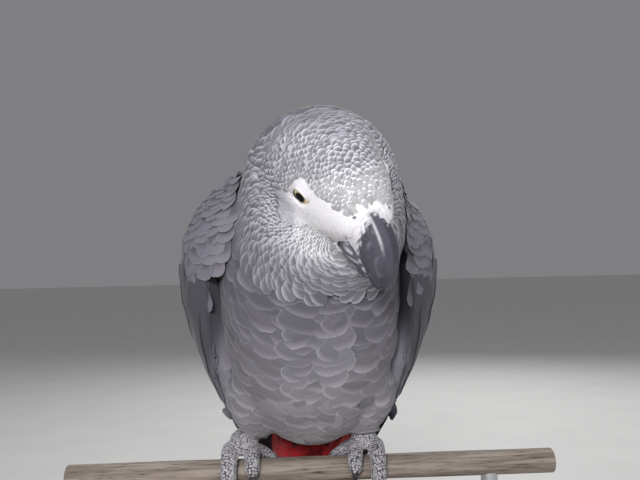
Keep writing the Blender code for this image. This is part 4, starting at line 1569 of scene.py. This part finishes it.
@dataclass
class Shawl:
    """The feathers that lap from neck and back on to each folded wing, laid on all of them cast as one surface."""

    plumage: Plumage
    nodes: Nodes
    recast: Recast = Recast(voxel=0.0016, swell=0.003, rounds=14)
    under: float = 0.9  # how far the surface lies under the solids' outline, millimetres
    wide: float = 7.5  # to each side of the seam, millimetres

    def build(self) -> None:
        """Fills the crease along each wing and lays rows of feathers down it."""
        nodes = [self.nodes[name] for name in ("neck", "trunk", "wing_left", "wing_right")]
        cast = Ground(*self.recast.cast(nodes))
        points, ground = cast.points, cast.below(self.under)
        winged = owners(points, nodes) >= 2
        height = self.plumage.height(points)
        seam = winged & ~winged[ground.ring].all(axis=1) & (height > 8.0)
        from_seam = ground.travel(seam, ground.everywhere, np.full(len(points), MM))
        ground = filled(ground, 1.0 - ease(7.0, 12.0, from_seam), 12)
        for side, sign in SIDES:
            region = (from_seam < self.wide) & (points[:, 0] * sign > 0.0) & (height > 6.0)
            front = ground.points[:, 1] < 0.014
            region &= ~front | (height > 84.0)
            top = region & (height > height[region].max() - 1.5)
            pitch = np.interp(height, (60.0, 90.0, 130.0), (4.6, 4.2, 3.0)) * MM
            tract = Tract(ground, region, top, pitch, 1.9, 71, wave=0.3, wave_length=0.02)
            tips = tract.tips(region & (height > 14.0) & (tract.rows > FIRST_ROW), 40000)
            turn = np.arctan2(tips.points[:, 1], tips.points[:, 0] * sign)
            over = ease(-5.0, 5.0, tips.read(np.where(winged, from_seam, -from_seam)))
            colour = mixed(self.plumage.body(tips.points), self.plumage.wing(tips.points), over)
            lift = 0.3 + 0.7 * ease(2.0, 7.0, tips.read(tract.rows))
            sizes = Sizes(length=3.2, half=1.3, low=0.2 * MM, high=1.5 * MM, yaw=5.0)
            lay = tract.lay(tips, sizes, turn, colour, lift)
            cut = Cut(14, 7, root=0.45, rounding=0.7, fray=0.03, camber=0.04, curl=0.05, thick=0.00022)
            dress(f"shawl_{side}", lay, cut, COVERT_VANES, 72)


@dataclass
class Tail:
    """Twelve square crimson feathers in a shallow fan, and the red coverts over their roots."""

    plumage: Plumage
    nodes: Nodes
    count: int = 12
    half: float = 8.0  # millimetres
    step: float = 0.42  # thickness between neighbours in the fan, millimetres
    recast: Recast = Recast(voxel=0.0012, rounds=6)

    def feathers(self) -> None:
        """The fan: spines spread from a narrow root to the tail's full width, the middle pair uppermost."""
        points, _ = node_arrays(self.nodes["tail"])
        middle = points.mean(axis=0)
        axis = np.linalg.svd(points - middle)[2][0]
        axis = axis * np.sign(axis @ DOWN_Z)
        side = np.array((1.0, 0.0, 0.0))
        over = np.cross(axis, side)
        over *= np.sign(over[1])
        reach = (points - middle) @ axis
        width = np.abs((points - middle) @ side).max() - self.half * MM * 0.92
        rank = np.linspace(-1.0, 1.0, self.count)
        stations = 14
        down = np.linspace(0.0, 1.0, stations + 1)
        start, end = reach.min() + 0.5 * MM, reach.max() - 0.3 * MM
        length = (end - start) * (1.0 - 0.05 * rank**2)
        out = rank[:, None] * width * (0.22 + 0.78 * down**0.8)
        lift = (0.5 - np.abs(rank)) * self.step * self.count / 2.0 * MM
        lift = lift[:, None] * (0.4 + 0.6 * down) + 0.0 * out
        spine = (middle + axis * (start + length[:, None] * down)[..., None] + side * out[..., None]
                 + over * lift[..., None])
        normals = np.broadcast_to(over, spine.shape).copy()
        normals += side * (rank[:, None, None] * 0.25)
        zeros = np.zeros(self.count)
        colour = np.broadcast_to(linear("9c1720"), (self.count, 3))
        chart = 0.05 + 0.9 * np.stack([(rank + 1.0) / 2.0, zeros + 0.5], axis=1)
        lay = Lay(spine, unit(normals), np.full((self.count, stations + 1), 4.0), zeros + self.half * MM, zeros,
                  zeros + 0.3 * MM, colour, chart)
        cut = Cut(14, 24, root=0.4, widest=0.3, rounding=0.55, fray=0.01, camber=0.08, curl=0.03, thick=0.0003)
        piece = dress("tail_fan", lay, cut, RED_VANES, 71)
        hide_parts("tail")

    def coverts(self) -> None:
        """The coverts' core and their feathers, which run down from the rump."""
        ground = Ground(*self.recast.cast([self.nodes["tail_coverts"]])).below(1.3)
        # Painted shade: the core is a darker red than its coverts, for the gaps between them.
        finished("tail_coverts_core", ground.points, ground.quads, BARE_SKIN, ("tail_coverts",),
                 linear("6e1118"))
        height = ground.points[:, 2]
        pitch = np.full(len(height), 6.0 * MM)
        tract = Tract(ground, ground.everywhere, height > height.max() - 2.5 * MM, pitch, 0.8, 81, wave=0.35)
        tips = tract.tips(ground.everywhere, 40000)
        turn = np.arctan2(tips.points[:, 0], tips.points[:, 1] - 0.04)
        sizes = Sizes(length=3.0, half=0.58, low=0.2 * MM, high=1.3 * MM, yaw=4.0, stations=6)
        lay = tract.lay(tips, sizes, turn, np.broadcast_to(linear("a31a24"), tips.points.shape))
        cut = Cut(12, 10, root=0.4, rounding=0.9, fray=0.03, camber=0.14, curl=0.12, thick=0.00022)
        dress("tail_coverts_red", lay, cut, RED_VANES, 82)


# ---- bill, eyes, feet


def cast_larger(node: Piece, recast: Recast, extra: float) -> tuple[Array, Array]:
    """Points and quads of one solid cast smooth, some metres larger all over to make up for the smoothing."""
    cast = Ground(*recast.cast([node]))
    return cast.points + cast.normals * extra, cast.quads


@dataclass
@dataclass
class Bill:
    """Upper and lower bill: horn with a blunt ridge, growth streaks and powder."""

    head: HeadFrame
    ground: Ground
    nodes: Nodes
    recast: Recast = Recast(voxel=0.0005, rounds=8)
    nostril: tuple[float, float, float] = (24.5, 7.3, 0.2)  # the left one's place and facing in the head's frame
    facing: tuple[float, float, float] = (0.55, 0.65, 0.52)

    def build(self) -> None:
        """Both halves and the nostrils."""
        finish = BILL_HORN.material()
        for half, marking in (("upper", self.upper), ("lower", self.lower)):
            points, quads = cast_larger(self.nodes["bill_" + half], self.recast, 0.0003)
            finished(f"bill_{half}_horn", points, quads, finish, ("bill_" + half,),
                     marking(self.head.local(points)))
        self.nostrils()

    def nostrils(self) -> None:
        """Two oval nostrils in the cere: a torus rim in pale skin, and inside it a flat dark ellipsoid, painted shade
        for the nostril's hollow.
        """
        inner, depth = turns(10), np.linspace(0.0, math.pi, 9)
        for side, sign in SIDES:
            mirror = (1.0, sign, 1.0)
            spot = self.ground.near(self.head.world(np.multiply(self.nostril, mirror))[None])
            out = unit(self.head.turned(np.multiply(self.facing, mirror)) + unit(spot.read(self.ground.normals))[0])
            first = unit(np.cross(out, DOWN_Z))
            second = np.cross(out, first)
            centre = spot.points[0] + out * 0.1 * MM
            oval = np.cos(turns(24))[:, None] * first * 1.15 + np.sin(turns(24))[:, None] * second * 0.9
            points = oval[:, None] * (0.78 + 0.22 * np.cos(inner))[:, None] + out * (0.16 * np.sin(inner))[:, None]
            finished(f"nostril_{side}_rim", (centre + points * MM).reshape(-1, 3), torus_quads(24, 10), BARE_SKIN,
                     colours=linear("dddadf"))
            # Painted shade: the dark ellipsoid stands for the hollow of the nostril.
            points = oval * 0.74 * np.sin(depth)[:, None, None] + out * (0.14 * np.cos(depth))[:, None, None]
            points = (centre + points * MM).reshape(-1, 3)
            weld(finished(f"nostril_{side}_shade_plug", points, outward(points, grid_quads(9, 24, around=True)),
                          NOSTRIL_DARK))

    def upper(self, place: Array) -> Array:
        """Charcoal with a flaky white base on the flanks, more on its right, and a painted highlight: a light streak
        along one side of the ridge.
        """
        aside = np.abs(place[:, 1])
        ragged = (Ripple(0.0022, 5).at(place * MM) - 1.0) * 0.9 + (Ripple(0.0009, 11).at(place * MM) - 1.0) * 0.5
        border = 26.2 + 3.2 * ease(0.4, 3.2, aside) - 0.10 * np.clip(-place[:, 2] - 6.0, 0.0, 20.0) + ragged
        border = border + 0.6 * (place[:, 1] > 0.0)
        white = 1.0 - ease(-1.5, 1.1, place[:, 0] - border)
        patch = ease(0.5, 1.6, Ripple(0.0048, 8).at(place * MM))
        horn = mixed(linear("474651"), linear("6a6974"), patch * ease(1.2, 4.0, aside))
        # Painted highlight: a light streak on the bird's right of the ridge, on its upper part.
        streak = np.exp(-((np.abs(place[:, 1] + 1.9) / 0.42) ** 2)) * ease(-13.0, -5.0, place[:, 2])
        return mixed(mixed(horn, linear("d9d6dc"), white), linear("d0ced6"), streak * 0.75)

    def lower(self, place: Array) -> Array:
        """Charcoal with lengthwise pale streaks."""
        patch = ease(0.0, 1.0, Ripple(0.003, 6).at(place * MM * (0.4, 1.0, 1.0)))
        return mixed(linear("55565f"), linear("c2c1ca"), patch * 0.8)


@dataclass
class Eye:
    """One eye: a ball with a corneal bulge, and a lid that rings the opening and runs out under the feathers."""

    side: str
    sign: float
    head: HeadFrame
    ground: Ground
    forward: float = 25.6  # degrees from sideways towards the bill
    down: float = 10.0  # degrees below level
    slant: float = 46.0  # degrees that the straight upper lid falls towards the bill
    bulge: float = 0.45  # millimetres
    long: float = 50.0  # from the axis to the front corner, in degrees seen from the ball's centre
    short: float = 34.0  # from the axis to the back corner
    below: float = 46.0  # from the axis to the lower lid
    above: float = 22.0  # from the axis to the upper lid
    reach: float = 7.9  # from the axis to where the lid ends on the skin, millimetres

    def __post_init__(self) -> None:
        """Finds the ball and its axes: out, along the upper lid towards the bill, and up."""
        low, high = corners("eye_" + self.side)
        self.centre = (low + high) / 2.0
        self.radius = float((high - low).max() / 2.0)
        turn, drop = math.radians(self.forward), math.radians(self.down)
        out = self.head.turned((math.sin(turn) * math.cos(drop), self.sign * math.cos(turn) * math.cos(drop),
                                -math.sin(drop)))
        level = self.head.turned((1.0, 0.0, 0.0))
        level = unit(level - (level @ out) * out)
        fall = np.cross(out, level) * self.sign
        fall = fall * -np.sign(fall @ self.head.axes[2])
        slant = math.radians(self.slant)
        self.out = out
        self.along = level * math.cos(slant) + fall * math.sin(slant)
        self.up = unit(np.cross(out, self.along))
        self.up *= np.sign(self.up @ self.head.axes[2])

    def sphere(self, angle: Array, turn: Array, radius: Array) -> Array:
        """Points at an angle from the axis, a turn round it from the lid's line upwards, and a radius."""
        flat = np.cos(turn)[..., None] * self.along + np.sin(turn)[..., None] * self.up
        way = np.cos(angle)[..., None] * self.out + np.sin(angle)[..., None] * flat
        return self.centre + way * np.asarray(radius)[..., None]

    def ball(self) -> None:
        """The eyeball: rings round its axis, with the bulge exp(-(angle/0.5)^2) of the cornea."""
        rings, sides = 40, 64
        angle, turn = np.meshgrid(np.linspace(0.0, math.pi, rings), turns(sides), indexing="ij")
        radius = self.radius + self.bulge * MM * np.exp(-((angle / 0.5) ** 2))
        points = self.sphere(angle, turn, radius).reshape(-1, 3)
        quads = outward(points, grid_quads(rings, sides, around=True))
        piece = finished(f"eye_{self.side}_ball", points, quads, EYE_WET, ("eye_" + self.side,))
        weld(piece)
        gaze = np.stack([angle / (math.pi / 2.0), np.cos(turn), np.sin(turn)], axis=-1).reshape(-1, 3)
        set_vectors(piece, "gaze", gaze)

    def lids(self) -> None:
        """The lid: a rounded rim at the opening, then a swelling that runs out on to the skin with fine folds.

        Each line runs from the rim over a raised middle to its foot on the skin, as a quadratic curve.
        """
        rings, sides = 26, 96
        out, turn = np.meshgrid(np.linspace(0.0, 1.0, rings), turns(sides), indexing="ij")
        tall = np.where(np.sin(turn[0]) > 0.0, self.above, self.below)
        long = np.where(np.cos(turn[0]) > 0.0, self.long, self.short)
        angle = np.radians(1.0 / np.sqrt((np.cos(turn[0]) / long) ** 2 + (np.sin(turn[0]) / tall) ** 2))
        bulge = self.bulge * np.exp(-((angle / 0.5) ** 2))
        edge = self.sphere(angle, turn[0], self.radius + (bulge + 0.08) * MM)
        lateral = np.cos(turn[0])[:, None] * self.along + np.sin(turn[0])[:, None] * self.up
        start = self.centre + lateral * self.reach * MM
        foot = self.ground.struck(start + self.out * 14.0 * MM, np.broadcast_to(-self.out, start.shape))
        tall = (foot.points - start) @ self.out
        for _ in range(40):
            tall = np.roll(tall, 1) * 0.25 + tall * 0.5 + np.roll(tall, -1) * 0.25
        skin = start + self.out * (tall - 0.7 * MM)[:, None]
        middle = (edge + skin) / 2.0 + self.out * (0.35 + 0.3 * np.maximum(np.sin(turn[0]), 0.0))[:, None] * MM
        share = (out**1.15)[..., None]
        points = edge * (1.0 - share) ** 2 + middle * 2.0 * share * (1.0 - share) + skin * share**2
        rim = np.sin(np.minimum(out / 0.22, 1.0) * math.pi) * 0.28 + ease(0.0, 0.12, out) * 0.22 * (1.0 - out)
        folds = 0.03 * np.sin(out * 30.0 + 2.0 * np.sin(turn)) * ease(0.25, 0.4, out) * (1.0 - ease(0.8, 1.0, out))
        lift = unit(points - self.centre)
        points = (points + lift * ((rim + folds) * MM)[..., None]).reshape(-1, 3)
        lower = ease(0.25, -0.45, np.sin(turn))
        dark = ((1.0 - ease(0.05, 0.16, out)) * (0.35 + 0.65 * lower)).ravel()
        quads = outward(points, grid_quads(rings, sides, around=True))
        piece = finished(f"eye_{self.side}_lids", points, quads, BARE_SKIN,
                         colours=mixed(linear("e2dfe5"), linear("33241a"), dark))
        thick = piece.modifiers.new("thickness", "SOLIDIFY")
        thick.thickness = 0.0003
        thick.offset = -1.0


@dataclass
class Foot:
    """One foot: dark skin over shank and toes, pale scales set close on it, and the claws."""

    side: str
    nodes: Nodes
    recast: Recast = Recast(voxel=0.0007, swell=0.0003, rounds=6)
    claw_cast: Recast = Recast(voxel=0.00035, rounds=5)

    def build(self) -> None:
        """Skin, scales and claws."""
        members = ("shank_" + self.side, *(f"toe_{number}_{self.side}" for number in range(1, 5)))
        cast = Ground(*self.recast.cast([self.nodes[name] for name in members]))
        ground = cast.below(0.25)
        finished(f"foot_{self.side}_skin", ground.points, ground.quads, FOOT_SKIN, members,
                 linear("4f4c52"))
        top = cast.points[:, 2] > cast.points[:, 2].max() - 0.0015
        pitch = np.full(len(top), 1.2 * MM)
        tract = Tract(ground, ground.everywhere, top, pitch, 1.05, 91, wave=0.2, wave_length=0.006)
        tips = tract.tips(ground.everywhere, 60000)
        place = tips.points
        turn = np.arctan2(place[:, 0] - place[:, 0].mean(), place[:, 1])
        colour = mixed(linear("9d9aa0"), linear("bbb8bd"), np.random.default_rng(92).random(len(place)))
        sizes = Sizes(length=0.98, half=0.49, low=0.1 * MM, high=0.14 * MM, yaw=12.0, stations=2)
        cut = Cut(4, 4, root=0.72, widest=0.4, rounding=0.75, camber=0.5, curl=0.1, thick=0.0002)
        dress(f"foot_{self.side}_scales", tract.lay(tips, sizes, turn, colour), cut, FOOT_SCALES, 93)
        horn = CLAW_HORN.material()
        for number in range(1, 5):
            node = f"claw_{number}_{self.side}"
            points, quads = cast_larger(self.nodes[node], self.claw_cast, 0.0001)
            finished(node + "_horn", points, quads, horn, (node,), linear("37363c"))


# ---- perch, stand, studio


@dataclass
class Stand:
    """The cut length of perch, the two rods and the flat base."""

    nodes: Nodes

    def build(self) -> None:
        """All four pieces."""
        self.perch()
        for node in ("stand_rod_left", "stand_rod_right"):
            self.rod(node)
        self.base()

    def perch(self) -> None:
        """A round bar along X whose radius swells and shrinks a little, with eased ends."""
        low, high = corners("perch")
        radius = (high[2] - low[2]) / 2.0
        middle = (low + high) / 2.0
        ease_off = 0.8 * MM
        body = np.linspace(low[0] + ease_off, high[0] - ease_off, 120)
        bevel = np.linspace(0.0, 1.0, 5)[:-1]
        place = np.concatenate([low[0] + ease_off * bevel, body, high[0] - ease_off * bevel[::-1]])
        inset = np.concatenate([1.0 - np.sqrt(1.0 - (1.0 - bevel) ** 2), np.zeros(len(body)),
                                1.0 - np.sqrt(1.0 - (1.0 - bevel[::-1]) ** 2)]) * ease_off
        x, angle = np.meshgrid(place, turns(48), indexing="ij")
        trial = np.stack([x, np.cos(angle) * radius, np.sin(angle) * radius], axis=-1).reshape(-1, 3)
        uneven = (Ripple(0.03, 3).at(trial * (0.4, 1.0, 1.0)) - 1.2).reshape(x.shape) * 0.00008
        size = radius - inset[:, None] + np.minimum(uneven, 0.0)
        rim = np.stack([x, middle[1] + np.cos(angle) * size, middle[2] + np.sin(angle) * size], axis=-1)
        self.closed("perch_wood", rim, PERCH_WOOD, "perch")

    def rod(self, node: str) -> None:
        """A steel rod with a collar where it enters the base: rings of one radius profile up its length."""
        low, high = corners(node)
        radius = (high[0] - low[0]) / 2.0
        middle = (low + high) / 2.0
        profile = np.array(((0.0, 0.85), (0.4, 1.0), (8.0, 1.0), (8.3, 0.96), (8.6, 1.0)))
        heights = np.concatenate([low[2] + profile[:, 0] * MM, np.linspace(low[2] + 12.0 * MM, high[2], 14)])
        sizes = np.concatenate([profile[:, 1], np.ones(14)]) * radius
        height, angle = np.meshgrid(heights, turns(40), indexing="ij")
        size = np.broadcast_to(sizes[:, None], angle.shape)
        rim = np.stack([middle[0] + np.cos(angle) * size, middle[1] + np.sin(angle) * size, height], axis=-1)
        self.closed(node + "_steel", rim, ROD_STEEL, node)

    def base(self) -> None:
        """A slab with round corners: the outline shrinks by a quarter circle at the top edge and a small one below."""
        low, high = corners("stand_base")
        middle, half = (low + high) / 2.0, (high - low) / 2.0
        corner, edge, foot = 45.0 * MM, 2.6 * MM, 0.8 * MM
        quarter = np.linspace(0.0, math.pi / 2.0, 9)
        turn = (quarter[None] + np.arange(4)[:, None] * math.pi / 2.0).ravel()
        signs = np.repeat(np.array(((1, 1), (-1, 1), (-1, -1), (1, -1))), len(quarter), axis=0)
        steps = np.linspace(0.0, math.pi / 2.0, 7)
        inset = np.concatenate([foot * (1.0 - np.sin(steps)), edge * (1.0 - np.cos(steps))])
        height = np.concatenate([low[2] + foot * (1.0 - np.cos(steps)), high[2] - edge * (1.0 - np.sin(steps))])
        rings = []
        for shrink, level in zip(inset, height):
            reach = half[:2] - corner
            x = middle[0] + signs[:, 0] * reach[0] + np.cos(turn) * (corner - shrink)
            y = middle[1] + signs[:, 1] * reach[1] + np.sin(turn) * (corner - shrink)
            rings.append(np.stack([x, y, np.full_like(x, level)], axis=-1))
        self.closed("stand_base_walnut", np.array(rings), BASE_WOOD, "stand_base")

    def closed(self, name: str, rings: Array, finish: Finish, node: str) -> None:
        """A piece from closed rings, with a fan over each end.

        Args:
            name: The piece's name.
            rings: Rings by points by three.
            finish: Its finish.
            node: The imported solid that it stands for.
        """
        count, sides = rings.shape[:2]
        points = np.concatenate([rings.reshape(-1, 3), rings[[0, -1]].mean(axis=1)])
        own = np.arange(sides)
        after = np.roll(own, -1)
        last = (count - 1) * sides
        first_cap = np.stack([own, after, np.full(sides, count * sides)], axis=1)
        last_cap = np.stack([last + after, last + own, np.full(sides, count * sides + 1)], axis=1)
        body = split_quads(grid_quads(count, sides, around=True))
        faces = outward(points, np.concatenate([body, first_cap, last_cap]))
        finished(name, points, faces, finish, (node,), crease=math.radians(50.0))


class Lamp(Enum):
    """The studio's lamps: place, size, power in watts."""

    KEY = ((-0.08, -0.46, 0.32), 0.10, 1.65)
    TOP = ((-0.10, -0.30, 1.15), 0.55, 3.2)
    FILL = ((0.75, -0.55, 0.45), 0.8, 0.8)
    RIM = ((0.3, 0.9, 0.8), 0.7, 5.0)


@dataclass
class Studio:
    """Floor, soft lamps, pale surroundings and the camera."""

    target: tuple[float, float, float] = (0.0, -0.01, 0.18)
    eye: tuple[float, float, float] = (-10.2, -325.4, 196.1)  # millimetres
    lens: float = 37.97
    yaw: float = 2.75
    pitch: float = 3.25
    roll: float = 1.3
    reach: float = 40.0

    def build(self) -> None:
        """Everything round the bird."""
        world = bpy.data.worlds.new("studio")
        bpy.context.scene.world = world
        world.use_nodes = True
        back = world.node_tree.nodes["Background"]
        back.inputs[0].default_value = rgba("e9eaee")
        back.inputs[1].default_value = 0.26
        floor = make_mesh("studio_floor", self.reach * np.array(((-1, -1, 0), (1, -1, 0), (1, 1, 0), (-1, 1, 0.0))),
                          np.array(((0, 1, 2, 3),)))
        floor.data.materials.append(FLOOR_PAINT.material())
        for lamp in Lamp:
            place, size, power = lamp.value
            data = bpy.data.lights.new(lamp.name.lower(), "AREA")
            data.shape = "DISK"
            data.size = size
            data.energy = power
            obj = bpy.data.objects.new(lamp.name.lower(), data)
            bpy.context.scene.collection.objects.link(obj)
            way = Vector(self.target) - Vector(place)
            obj.matrix_world = Matrix.Translation(place) @ way.to_track_quat("-Z", "Y").to_matrix().to_4x4()
        self.camera()
        bpy.context.scene.view_settings.view_transform = "Standard"

    def camera(self) -> None:
        """The camera, a little above the bird's eye and looking a little up."""
        yaw, pitch, roll = (math.radians(value) for value in (self.yaw, self.pitch, self.roll))
        ahead = Vector((math.sin(yaw) * math.cos(pitch), math.cos(yaw) * math.cos(pitch), math.sin(pitch)))
        level = Vector((math.cos(yaw), -math.sin(yaw), 0.0))
        right = math.cos(roll) * level - math.sin(roll) * level.cross(ahead)
        turned = Matrix((right, right.cross(ahead), -ahead)).transposed().to_4x4()
        data = bpy.data.cameras.new("camera")
        data.lens = self.lens
        data.sensor_width = 36.0
        data.clip_start = 0.01
        obj = bpy.data.objects.new("camera", data)
        bpy.context.scene.collection.objects.link(obj)
        obj.matrix_world = Matrix.Translation(Vector(self.eye) * MM) @ turned
        bpy.context.scene.camera = obj


def main() -> None:
    logging.basicConfig(level=logging.INFO, format="%(relativeCreated)6.0f ms  %(message)s")
    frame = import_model()
    nodes = frame["nodes"]
    Studio().build()
    head = HeadFrame()
    plumage = Plumage(head, float(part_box("perch")[1][2]))
    LOG.info("head origin %s", np.round(head.origin / MM, 2))
    body = Body(head, plumage, nodes)
    LOG.info("skin cast: %d points", len(body.ground.points))
    body.skin()
    body.hood()
    body.coat()
    for side, sign in SIDES:
        wing = Wing(side, sign, plumage, nodes)
        wing.build()
        wing.flank(body)
        eye = Eye(side, sign, head, body.ground)
        eye.ball()
        eye.lids()
        Foot(side, nodes).build()
    Shawl(plumage, nodes).build()
    tail = Tail(plumage, nodes)
    tail.feathers()
    tail.coverts()
    Bill(head, body.ground, nodes).build()
    Stand(nodes).build()


if __name__ == "__main__":
    main()
